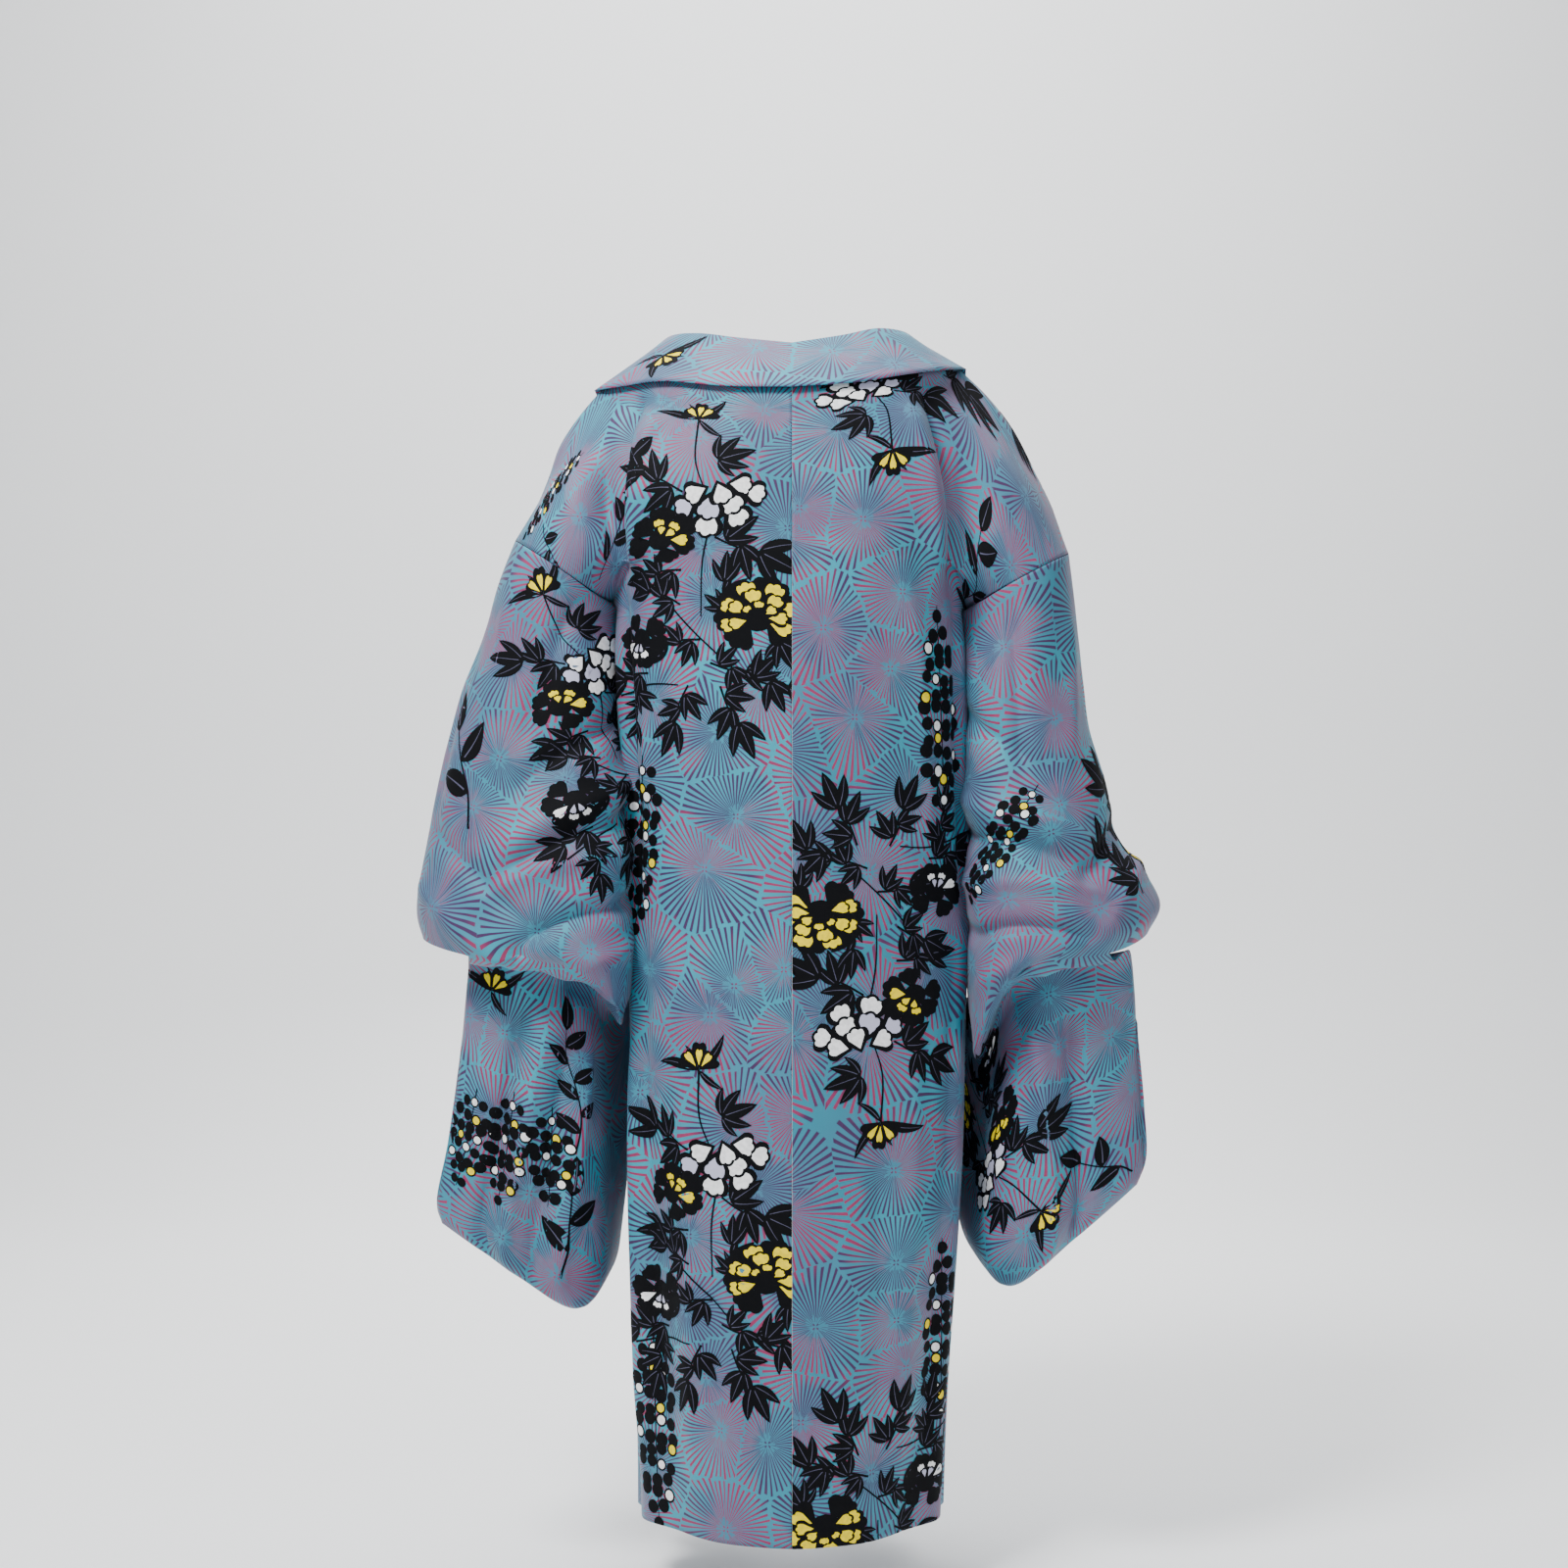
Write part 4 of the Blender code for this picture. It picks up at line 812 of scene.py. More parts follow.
def cloth_spot(sheet, mirrored, place):
    """Cloth position of the sheet's point that is nearest to a place in the picture.

    Of two points behind one another the one nearer to the camera wins. Returns u,
    v, the picture's downward way in the cloth and the hand of its coordinates.
    """
    flip = np.array([-1.0 if mirrored else 1.0, 1, 1])
    spots, ways = sheet.grid * flip, sheet.normal * flip
    seen = in_picture(spots)
    miss = np.hypot(seen[..., 0] - place[0], seen[..., 1] - place[1]) - DEPTH_WEIGHT * spots[..., 1]
    miss = np.where(np.isnan(miss) | (ways[..., 1] < FACING), np.inf, miss)
    row, column = np.unravel_index(np.argmin(miss), miss.shape)
    left, right = max(column - 1, 0), min(column + 1, seen.shape[1] - 1)
    above, below = max(row - ROW_REACH, 0), min(row + ROW_REACH, len(seen) - 1)
    way_u, way_v = seen[row, right] - seen[row, left], seen[below, column] - seen[above, column]
    spread = sheet.u[row, right] - sheet.u[row, left]
    hand = np.sign(spread * (way_u[0] * way_v[1] - way_u[1] * way_v[0]))
    return sheet.u[row, column], sheet.v[row, 0], np.arctan2(way_v[1], way_v[0]) - hand * np.pi / 2, hand


def lay_print(design, sheet, spot, angle, size, lift):
    """A design laid on a sheet, turned by an angle in the picture: points, faces, colours."""
    verts, faces, shades = design
    u, v, turn, hand = spot
    cosine, sine = np.cos(np.radians(angle) - turn), np.sin(np.radians(angle) - turn)
    u = u + (verts[:, 0] * cosine - verts[:, 1] * sine) * size
    v = v + (verts[:, 0] * sine + verts[:, 1] * cosine) * size * hand
    low_v, high_v = sheet.v[0, 0], sheet.v[-1, 0]
    held_v = np.clip(v, low_v, high_v)
    row = np.round(np.interp(held_v, sheet.v[:, 0], np.arange(len(sheet.v)))).astype(int)
    low_u, high_u = (edge(sheet.u, axis=1)[row] for edge in (np.nanmin, np.nanmax))
    inside = (u > low_u) & (u < high_u) & (v > low_v) & (v < high_v)
    spots, ways = sheet.at(np.clip(u, low_u, high_u), held_v)
    spots = spots + ways * lift
    empty = np.isnan(spots).any(axis=1)
    kept = [k for k, face in enumerate(faces) if inside[face].any() and not empty[face].any()]
    return np.nan_to_num(spots), [faces[k] for k in kept], [shades[k] for k in kept]


# ---- the printed plants ----------------------------------------------------
# Every motif is worked out by a function, from a foot or a middle, a heading in
# degrees and a size. Lengths are in millimetres of cloth, x across and y down.
INK, WHITE, YELLOW, RIB, PALE = range(5)
OUTLINE = 1.5              # dark line round a coloured petal
RIB_HALF = 0.36            # half width of a leaf's rib
STEM_HALF = 0.95
BERRY = 4.9                # radius of a berry
BERRY_INSIDE = 0.70        # a coloured berry's share inside its ring
STALK = 14                 # how far a bunch's stalk stands above it
PETAL_SIDES, PETAL_BUMP = 0.24, 0.11  # how much shorter its sides are, how high its bumps
PETAL_INSIDE, PETAL_FOOT = 0.86, 0.12 # the coloured part's share, and where it starts
BLOOM_FLATNESS = 0.80
BERRY_STEP = 2.05 * BERRY
TWIG_LEAF = 25.0           # length of a twig's single leaf
FILL_STEP = 4.2            # spacing of the points added inside the shapes
FILL_SHIFT = 0.1           # keeps them off straight lines


def heading(angle):
    """The way of an angle in degrees."""
    return np.array([np.cos(np.radians(angle)), np.sin(np.radians(angle))])


def set_out(foot, angle):
    """The foot as an array, the way ahead and the way across."""
    return np.array(foot, float), heading(angle), heading(angle + 90)


def vary(number, amount):
    """A repeatable value near 1 for each number."""
    return 1 + amount * np.sin(12.9898 * number + 4.1)


def band(spine, across, half):
    """The outline of a band of some half width along a spine."""
    return np.concatenate([spine + across * half[:, None], (spine - across * half[:, None])[::-1]])


def leaf(foot, angle, length, wide, bend=0.0):
    """A pointed leaf with a fine rib; wide and bend are shares of its length."""
    foot, ahead, across = set_out(foot, angle)
    share = np.linspace(0, 1, 9)
    half = wide * length * np.sin(np.pi * share ** 0.80) ** 0.85
    bow = bend * length * 4 * share * (1 - share)
    spine = foot + ahead * (share * length)[:, None] + across * bow[:, None]
    outline = np.concatenate([spine + across * half[:, None], (spine - across * half[:, None])[-2:0:-1]])
    rib = band(spine[1:-1], across, np.linspace(RIB_HALF, RIB_HALF / 3, len(spine) - 2))
    return [(outline, INK), (rib, RIB)]


def spray(foot, angle, size, count=5, spread=33):
    """A leaf cut into pointed lobes, the middle one longest."""
    shapes = []
    for k in range(count):
        out = k - (count - 1) / 2
        length = size * (1 - 0.15 * abs(out)) * vary(k + angle, 0.09)
        shapes += leaf(foot, angle + spread * out, length, 0.180 - 0.010 * abs(out), 0.05 * out)
    return shapes


def stem(line, half=STEM_HALF):
    """A thin branch through points."""
    last = len(line) - 1
    fine = curve_through(np.arange(last + 1), line, np.linspace(0, last, 5 * last + 5))
    run = np.gradient(fine, axis=0)
    side = unit(np.stack([-run[:, 1], run[:, 0]], axis=1))
    return [(band(fine, side, np.linspace(half, 0.6 * half, len(fine))), INK)]


def frond(foot, angle, size):
    """A bent stalk with cut leaves on both sides by turns and one at its end."""
    foot, ahead, across = set_out(foot, angle)
    end = foot + ahead * 0.74 * size
    shapes = stem([foot, foot + (ahead * 0.40 + across * 0.05) * size, end])
    for share, turn, part in ((0.18, -56, 0.58), (0.44, 52, 0.60)):
        shapes += spray(foot + ahead * share * size, angle + turn, size * part, 3, 32)
    return shapes + spray(end, angle + 4, size * 0.72, 3, 33)


def fan(base, angle, length, spread, bumps, grow=0.0):
    """A petal's outline: narrow at its base, its outer edge in round bumps."""
    share = np.linspace(-1, 1, 5 * bumps + 1)
    edge = 1 - PETAL_SIDES * np.abs(share) ** 3
    edge = edge + PETAL_BUMP * np.abs(np.sin(bumps * np.pi / 2 * (share + 1)))
    turn = np.radians(angle) + (np.radians(spread / 2) + grow / length) * share
    rim = np.stack([np.cos(turn), np.sin(turn)], axis=1) * (length * edge + grow)[:, None]
    return np.concatenate([[-heading(angle) * grow], rim]) + np.array(base)


def petal(base, angle, length, spread, colour, bumps=3):
    """A petal of one colour with a dark line round it."""
    shapes = [(fan(base, angle, length, spread, bumps, OUTLINE), INK)]
    if colour != INK:
        foot = base + heading(angle) * PETAL_FOOT * length
        shapes.append((fan(foot, angle, PETAL_INSIDE * length, PETAL_INSIDE * spread, bumps), colour))
    return shapes


def disc(middle, radius, colour):
    """A berry: dark, or coloured inside a dark ring."""
    turn = np.linspace(0, 2 * np.pi, 13)[:-1]
    ring = np.stack([np.cos(turn), np.sin(turn)], axis=1) * radius
    shapes = [(np.array(middle) + ring, INK)]
    if colour != INK:
        shapes.append((np.array(middle) + ring * BERRY_INSIDE, colour))
    return shapes


# Petals from the outermost coat in: count, share of the size, opening, colour.
BLOOMS = {
    "black_bloom": [(6, 1.05, 320, INK), (3, 0.80, 150, YELLOW), (2, 0.52, 100, YELLOW)],
    "mixed_bloom": [(6, 1.05, 330, INK), (3, 0.84, 120, WHITE), (2, 0.56, 70, PALE)],
    "peony": [(6, 1.06, 330, INK), (6, 0.98, 270, YELLOW), (5, 0.74, 250, YELLOW),
              (3, 0.46, 150, YELLOW), (2, 0.26, 120, INK)],
}


def bloom(kind, middle, angle, size):
    """A flower of fan-shaped petals in coats, a little flatter than round."""
    shapes = disc((0, 0), 0.42 * size, INK)
    for coat, (count, share, opening, colour) in enumerate(BLOOMS[kind]):
        each = opening / count
        for k in range(count):
            way = angle + (k - (count - 1) / 2 + 0.3 * (coat % 2)) * each
            length = size * share * vary(3 * k + coat, 0.10)
            shapes += petal(heading(way) * 0.34 * length, way, 0.68 * length, 1.5 * each, colour)
    return [(outline * (1.0, BLOOM_FLATNESS) + np.array(middle), colour) for outline, colour in shapes]


def cluster(middle, angle, size):
    """Rounded white petals hanging in rows from one side of a stalk."""
    shapes = []
    for row, (count, reach, opening) in enumerate(((4, 1.0, 150), (4, 0.62, 165), (1, 0.38, 0))):
        for k in range(count):
            way = angle + (k - (count - 1) / 2) * opening / count
            foot = np.array(middle, float) + heading(way) * size * (reach - 0.34)
            length = size * 0.60 * vary(5 * k + row, 0.12)
            shapes += petal(foot, way + 8 * (k - 1.5), length, 86, PALE if (k + row) % 4 == 3 else WHITE)
    return shapes


# Turn and share of the size of a bud's narrow leaves; turn, share, colour of its petals.
BUD_LEAVES = ((-84, 2.3), (36, 2.1), (126, 1.5), (-30, 1.3))
BUD_PETALS = ((-60, 0.80, INK), (62, 0.80, INK), (2, 1.00, INK),
              (-38, 0.80, YELLOW), (38, 0.76, YELLOW), (2, 0.78, YELLOW))


def bud(middle, angle, size):
    """A half-open bud between narrow leaves."""
    shapes = []
    for turn, share in BUD_LEAVES:
        shapes += leaf(middle, angle + turn, size * share, 0.105, 0.08)
    for turn, share, colour in BUD_PETALS:
        way = angle + turn
        shapes += petal(np.array(middle) + heading(way) * 0.12 * size, way, size * share, 40, colour, 2)
    return shapes


def bunch(foot, angle, length, wide):
    """Berries packed in a long drop round a stalk, fewer and narrower to its end."""
    foot, ahead, across = set_out(foot, angle)
    shapes = stem([foot - ahead * STALK, foot + ahead * 0.5 * length, foot + ahead * length], 0.5)
    number = 0
    for row in range(int(length / BERRY_STEP) + 1):
        share = row * BERRY_STEP / length
        half = 0.5 * wide * np.sin(np.pi * min(0.98, 0.20 + 0.78 * share)) ** 0.6
        places = max(1, int(2 * half / BERRY_STEP))
        for k in range(places):
            number += 1
            off = (k - (places - 1) / 2) * vary(number, 0.10)
            spot = foot + (ahead * (row + 0.22 * np.sin(5.3 * number)) + across * off) * BERRY_STEP
            colour = WHITE if number % 6 == 2 else YELLOW if number % 11 == 5 else INK
            shapes += disc(spot, BERRY * vary(number, 0.09), colour)
    return shapes


def twig(foot, angle, size, leaves=7):
    """A thin twig with single pointed leaves, left and right by turns."""
    foot, ahead, across = set_out(foot, angle)
    spots = [foot + (ahead * share + across * 0.05 * np.sin(5 * share)) * size
             for share in np.linspace(0, 1, leaves + 1)]
    shapes = stem(spots, 0.6)
    for k, spot in enumerate(spots[1:]):
        turn = 0 if k == leaves - 1 else 50 if k % 2 else -54
        shapes += leaf(spot, angle + turn, TWIG_LEAF * vary(k, 0.15), 0.24, 0.04)
    return shapes


# The branch, about its white bloom: motif, x, y, heading, size.
BRANCH = [
    (frond, -30, -10, 200, 56), (frond, 0, 30, 20, 56), (frond, -30, 60, 170, 46),
    (frond, 10, 100, -90, 40), (frond, -30, 90, 200, 42), (frond, -10, 120, 170, 42),
    (frond, 0, 140, 10, 44), (frond, 30, 150, 10, 54), (frond, 10, 160, 60, 48),
    (frond, -20, 160, 110, 46), (frond, -60, 150, 170, 48), (frond, -70, 160, 100, 44),
    (spray, 60, 120, 60, 30), (spray, 0, -40, -20, 34), (bud, -20, -80, -90, 19),
    (cluster, 0, -20, 80, 36), ("black_bloom", -50, 30, 300, 28), ("mixed_bloom", -70, 120, 100, 27),
    ("peony", 40, 100, 260, 35),
]
BRANCH_STEMS = [
    [(-20, -80), (-20, -40), (-10, -10)], [(0, 0), (-10, 50), (-10, 100)],
    [(-70, 60), (-20, 110), (40, 160)], [(-100, 170), (-60, 160), (-30, 160)],
]
PEONY_PLACE = np.array(BRANCH[-1][1:3])
# Three bunches side by side: the last two columns are their length and width.
WIDE_BUNCH = [(bunch, -34, 6, 96, 78, 52), (bunch, 2, 0, 92, 84, 50), (bunch, 38, 4, 86, 70, 46)]


def arrange(rows, stems=()):
    """The shapes of a table of motifs, stems lowest."""
    shapes = [shape for line in stems for shape in stem(line)]
    for kind, x, y, *rest in rows:
        shapes += bloom(kind, (x, y), *rest) if kind in BLOOMS else kind((x, y), *rest)
    return shapes


def flat_print(shapes):
    """One flat mesh of all the shapes: points in metres, triangles and a colour for each."""
    spots, loops = [], []
    for outline, _ in shapes:
        ahead = np.roll(outline, -1, axis=0)
        if np.sum(outline[:, 0] * ahead[:, 1] - outline[:, 1] * ahead[:, 0]) < 0:
            outline = outline[::-1]
        loops.append(list(range(len(spots), len(spots) + len(outline))))
        spots += [tuple(spot) for spot in outline]
    low, high = np.min(spots, axis=0), np.max(spots, axis=0)
    for row, y in enumerate(np.arange(low[1], high[1], FILL_STEP)):
        for x in np.arange(low[0] + (row % 2) * FILL_STEP / 2, high[0], FILL_STEP):
            spots.append((x + FILL_SHIFT * np.sin(y), y + FILL_SHIFT * np.cos(x)))
    flat = [Vector(map(float, spot)) for spot in spots]
    verts, _, triangles, _, _, owners = delaunay_2d_cdt(flat, [], loops, 0, 1e-4, True)
    owned = [(list(face), shapes[max(own)][1]) for face, own in zip(triangles, owners) if own]
    faces, shades = zip(*owned)
    return np.array([tuple(vert) for vert in verts]) * MILLIMETRE, faces, shades


branch = arrange(BRANCH, BRANCH_STEMS)
DESIGNS = {
    "branch": branch,
    "low_branch": [(outline - PEONY_PLACE, colour) for outline, colour in branch],
    "bunch": bunch((0, 0), 90, 130, 46),
    "wide_bunch": arrange(WIDE_BUNCH),
    "twig": twig((0, 0), 90, 90),
    "sprig": twig((0, 0), 90, 42, 3),
    "frond": frond((0, 0), 90, 62),
    "bud": bud((0, 0), -90, 19),
}
DESIGNS = {name: flat_print(shapes) for name, shapes in DESIGNS.items()}
# Prints: stretch, design, place in the picture, clockwise turn there, size.
PRINTS = [
    ("back_left", "branch", (732, 514), 0, 1.0), ("back_left", "branch", (738, 1184), 0, 1.0),
    ("back_left", "bunch", (656, 790), 2, 1.15), ("back_left", "bunch", (668, 1380), -3, 1.25),
    ("back_left", "bunch", (590, 468), 10, 0.66), ("back_left", "twig", (612, 592), 184, 0.95),
    ("back_left", "sprig", (556, 536), -50, 0.9),
    ("back_right", "branch", (880, 400), 204, 1.0), ("back_right", "branch", (880, 1052), 182, 1.0),
    ("back_right", "low_branch", (842, 1560), 180, 1.0),
    ("back_right", "bunch", (962, 812), 178, 1.30), ("back_right", "bunch", (960, 1440), 182, 1.20),
    ("back_right", "twig", (984, 630), 186, 1.25), ("back_right", "frond", (962, 384), -48, 0.85),
    ("back_right", "frond", (1020, 420), -40, 0.7),
    ("sleeve_left", "branch", (606, 680), -50, 0.95), ("sleeve_left", "sprig", (476, 846), 160, 2.2),
    ("sleeve_left", "bud", (502, 1012), 20, 1.0), ("sleeve_left", "wide_bunch", (522, 1128), 4, 1.05),
    ("sleeve_left", "twig", (588, 1175), 176, 1.15), ("sleeve_left", "sprig", (574, 1306), 186, 1.7),
    ("sleeve_right", "bunch", (1050, 812), 44, 0.9), ("sleeve_right", "frond", (1142, 838), 118, 1.1),
    ("sleeve_right", "frond", (1166, 912), 150, 0.9), ("sleeve_right", "bud", (1152, 874), 60, 0.9),
    ("sleeve_right", "branch", (1010, 1200), 148, 0.95),
    ("sleeve_right", "sprig", (1156, 1196), 136, 1.5),
    ("collar", "bud", (678, 364), 120, 0.9), ("collar", "sprig", (962, 404), 70, 0.8),
]
# The same designs on the hidden stretches, by cloth position in metres.
HIDDEN_PRINTS = [
    ("front_left", "branch", (0.07, 0.24), 0, 1.0), ("front_left", "bunch", (0.04, 0.52), 0, 1.1),
    ("front_left", "branch", (0.07, 0.80), 0, 1.0),
    ("front_right", "branch", (0.07, 0.18), 180, 1.0), ("front_right", "branch", (0.07, 0.74), 180, 1.0),
    ("front_right", "bunch", (0.11, 0.50), 180, 1.1),
    ("sleeve_left", "branch", (-0.16, 0.20), 180, 0.95), ("sleeve_right", "branch", (-0.16, 0.22), 20, 0.95),
    ("sleeve_left", "bunch", (-0.12, 0.46), 10, 1.0), ("sleeve_right", "bunch", (-0.12, 0.44), 170, 1.0),
]
PRINT_LIFT = 0.00028       # how far a print stands off the cloth's face
LAYER_LIFT = 0.00004       # from one print's layer to the next
LAYERS = 4


# ---- materials -------------------------------------------------------------
def srgb(red, green, blue):
    """A colour given as it looks on a screen, 0 to 255."""
    shares = (value / 255 for value in (red, green, blue))
    return tuple(share / 12.92 if share <= 0.04045 else ((share + 0.055) / 1.055) ** 2.4
                 for share in shares)


TURQUOISE = srgb(44, 152, 174)
TEAL = srgb(40, 130, 152)
LAVENDER = srgb(68, 116, 144)
STROKE = srgb(66, 38, 82)
PINK = srgb(144, 48, 90)
STAR_CELLS = 13.8          # starburst cells in one metre
STAR_CHANCE = 0.86         # how unevenly they are packed
STROKES = 52.0             # strokes round one star
WOBBLE, WOBBLES = 0.0015, 30.0   # how far the strokes stray, and how often in a metre
# A stroke's half width as a share of its room: far out, what it gains to the star's
# middle (that number over the distance), the most it gains, and its soft edge.
HALF_STROKE, HEART_GAIN, MOST_GAIN, SOFT_EDGE = 0.172, 0.006, 0.10, 0.022
# Each a fixed part and one that varies from stroke to stroke: a factor for the width,
# then in cells the start from the middle, the end from the cell's rim, the longest reach.
STROKE_VARIES, STARTS_AT, ENDS_AT, REACHES_TO = (0.8, 0.5), (0.025, 0.12), (-0.022, 0.060), (0.80, 0.14)
STROKE_FADE, RIM_FADE = 0.02, 0.008
# The star's heart: distances where it begins and is full, fades and ends; and the
# sine of the turn where its four arms begin and are full.
STAR_HEART = (0.010, 0.022, 0.040, 0.052)
HEART_ARMS = (0.75, 0.9)
# Clouds in the dye: how many in a metre, and the noise's values where they begin and end.
TEAL_CLOUDS, GREY_CLOUDS, PINK_CLOUDS = (3.2, 0.38, 0.62), (9.0, 0.38, 0.66), (17.0, 0.40, 0.58)
PINK_VARIES = (-0.08, 0.16)
NEAR_STAR = (0.15, 0.58)   # distances from a star's middle over which the greyer dye fades
GREY_SHARE, GREY_NEAR, MOST_GREY = 0.62, 0.50, 0.95
CREPE_GRAINS = 1400.0      # in a metre
PRINT_CLOUDS = (260.0, 0.35, 0.65)
PRINT_COLOURS = [
    ("print_ink", srgb(3, 4, 8), 0.8, 0.0), ("print_white", srgb(254, 254, 255), 0.6, 0.16),
    ("print_yellow", srgb(255, 228, 14), 0.6, 0.16), ("print_rib", srgb(84, 84, 108), 0.6, 0.0),
    ("print_pale", srgb(190, 190, 214), 0.6, 0.0),
]


class Value:
    """A number, way or colour in a shader, with its arithmetic as nodes."""

    def __init__(self, socket):
        self.socket, self.tree = socket, socket.id_data

    def maths(self, operation, *values):
        """A maths node on some values."""
        inputs = dict(enumerate(values))
        return Value(add(self.tree, "ShaderNodeMath", inputs, operation=operation).outputs[0])

    def __add__(self, other):
        return self.maths("ADD", self, other)

    def __mul__(self, other):
        return self.maths("MULTIPLY", self, other)

    def __sub__(self, other):
        return self.maths("SUBTRACT", self, other)

    def __rsub__(self, other):
        return self.maths("SUBTRACT", other, self)

    def ramp(self, low, high):
        """0 below low, 1 above high, smooth between."""
        inputs = {"Value": self, "From Min": low, "From Max": high}
        kind = "ShaderNodeMapRange"
        return Value(add(self.tree, kind, inputs, interpolation_type="SMOOTHSTEP").outputs["Result"])


def add(tree, kind, inputs, **settings):
    """A shader node with its settings and its inputs, each a constant or a Value."""
    item = tree.nodes.new(kind)
    for key, setting in settings.items():
        setattr(item, key, setting)
    for key, given in inputs.items():
        if isinstance(given, Value):
            tree.links.new(given.socket, item.inputs[key])
        else:
            item.inputs[key].default_value = (*given, 1.0) if item.inputs[key].type == "RGBA" else given
    return item


def mix(factor, first, second):
    """A colour between two others."""
    # The node's inputs 6 and 7 and its output 2 are the colours.
    item = add(factor.tree, "ShaderNodeMix", {0: factor, 6: first, 7: second}, data_type="RGBA")
    return Value(item.outputs[2])


def shift_by(operation, first, second):
    """A way worked out from two others."""
    item = add(first.tree, "ShaderNodeVectorMath", {0: first, 1: second}, operation=operation)
    return Value(item.outputs[0])


def noise(place, scale, detail=1.0, roughness=0.5, output="Fac", size="2D"):
    """Soft random clouds."""
    inputs = {"Vector": place, "Scale": scale, "Detail": detail, "Roughness": roughness}
    item = add(place.tree, "ShaderNodeTexNoise", inputs, noise_dimensions=size)
    return Value(item.outputs[output])


def split(kind, given):
    """The three parts of a way or a colour."""
    return [Value(part) for part in add(given.tree, kind, {0: given}).outputs]


def varied(sizes, luck):
    """A size with its own chance part."""
    return luck * sizes[1] + sizes[0]


def star_cells(place, feature):
    """The cells that the stars stand in."""
    inputs = {"Vector": place, "Scale": STAR_CELLS, "Randomness": STAR_CHANCE}
    return add(place.tree, "ShaderNodeTexVoronoi", inputs, voronoi_dimensions="2D", feature=feature).outputs


def starburst(moved):
    """Share of stroke, distance from a star's middle, and each stroke's chance."""
    wobble = shift_by("SUBTRACT", noise(moved, WOBBLES, output="Color"), (0.5, 0.5, 0.5))
    where = shift_by("ADD", moved, shift_by("MULTIPLY", wobble, (WOBBLE,) * 3))
    cell, rim = star_cells(where, "F1"), star_cells(where, "DISTANCE_TO_EDGE")
    x, y, _ = split("ShaderNodeSeparateXYZ", shift_by("SUBTRACT", where, Value(cell["Position"])))
    chance = split("ShaderNodeSeparateColor", Value(cell["Color"]))
    radius, edge = Value(cell["Distance"]), Value(rim["Distance"])
    angle = x.maths("ARCTAN2", y, x)
    turns = angle * (STROKES / (2 * np.pi)) + chance[0]
    number = {"X": turns.maths("FLOOR", turns), "Y": chance[1]}
    seed = Value(add(x.tree, "ShaderNodeCombineXYZ", number).outputs[0])
    toss = add(x.tree, "ShaderNodeTexWhiteNoise", {"Vector": seed}, noise_dimensions="3D")
    luck = split("ShaderNodeSeparateColor", Value(toss.outputs["Color"]))
    beside = x.maths("ABSOLUTE", turns.maths("FRACT", turns) - 0.5)
    wider = x.maths("MINIMUM", x.maths("DIVIDE", HEART_GAIN, radius), MOST_GAIN) + HALF_STROKE
    half = wider * varied(STROKE_VARIES, luck[0])
    begin, finish, reach = (varied(*pair) for pair in
                            ((STARTS_AT, luck[1]), (ENDS_AT, luck[2]), (REACHES_TO, luck[0])))
    line = (1.0 - beside.ramp(half, half + SOFT_EDGE)) * radius.ramp(begin, begin + STROKE_FADE)
    line = line * edge.ramp(finish, finish + RIM_FADE) * (1.0 - radius.ramp(reach, reach + STROKE_FADE))
    cross = x.maths("ABSOLUTE", x.maths("SINE", angle * 2.0)).ramp(*HEART_ARMS)
    inner, outer = radius.ramp(*STAR_HEART[:2]), 1.0 - radius.ramp(*STAR_HEART[2:])
    return x.maths("MAXIMUM", line, cross * inner * outer), radius, luck


def new_material(name, **inputs):
    """A material, its node tree and its surface with some inputs set."""
    made = bpy.data.materials.new(name)
    made.use_nodes = True
    surface = made.node_tree.nodes["Principled BSDF"]
    for key, value in inputs.items():
        surface.inputs[key.replace("_", " ")].default_value = value
    return made, made.node_tree, surface


def cloth_material(name, shift):
    """The dyed crepe: packed starbursts of tapering strokes on turquoise."""
    made, tree, surface = new_material(name, Roughness=0.62, Sheen_Weight=0.12, Sheen_Roughness=0.4,
                                       Specular_IOR_Level=0.35)
    place = Value(add(tree, "ShaderNodeUVMap", {}, uv_map="cloth").outputs["UV"])
    moved = shift_by("ADD", place, (*shift, 0.0))
    line, radius, luck = starburst(moved)
    ground = mix(noise(moved, TEAL_CLOUDS[0]).ramp(*TEAL_CLOUDS[1:]), TURQUOISE, TEAL)
    near = (1.0 - radius.ramp(*NEAR_STAR)) * GREY_NEAR
    greyer = noise(moved, GREY_CLOUDS[0], 2.0).ramp(*GREY_CLOUDS[1:]) * GREY_SHARE + near
    ground = mix(greyer.maths("MINIMUM", greyer, MOST_GREY), ground, LAVENDER)
    redder = noise(moved, PINK_CLOUDS[0]) + varied(PINK_VARIES, luck[1])
    colour = mix(line, ground, mix(redder.ramp(*PINK_CLOUDS[1:]), STROKE, PINK))
    tree.links.new(colour.socket, surface.inputs["Base Color"])
    crepe = {"Strength": 0.22, "Distance": 0.0006, "Height": noise(place, CREPE_GRAINS, 2.0, 0.6)}
    tree.links.new(add(tree, "ShaderNodeBump", crepe).outputs[0], surface.inputs["Normal"])
    return made


def plain_material(name, colour, roughness, mottle=0.0):
    """One printed colour, a little uneven."""
    made, tree, surface = new_material(name, Roughness=roughness, Specular_IOR_Level=0.15)
    surface.inputs["Base Color"].default_value = (*colour, 1.0)
    if mottle:
        place = Value(add(tree, "ShaderNodeTexCoord", {}).outputs["Object"])
        cloud = noise(place, PRINT_CLOUDS[0], 2.0, size="3D").ramp(*PRINT_CLOUDS[1:])
        darker = tuple(value * (1 - mottle) for value in colour)
        tree.links.new(mix(cloud, darker, colour).socket, surface.inputs["Base Color"])
    return made


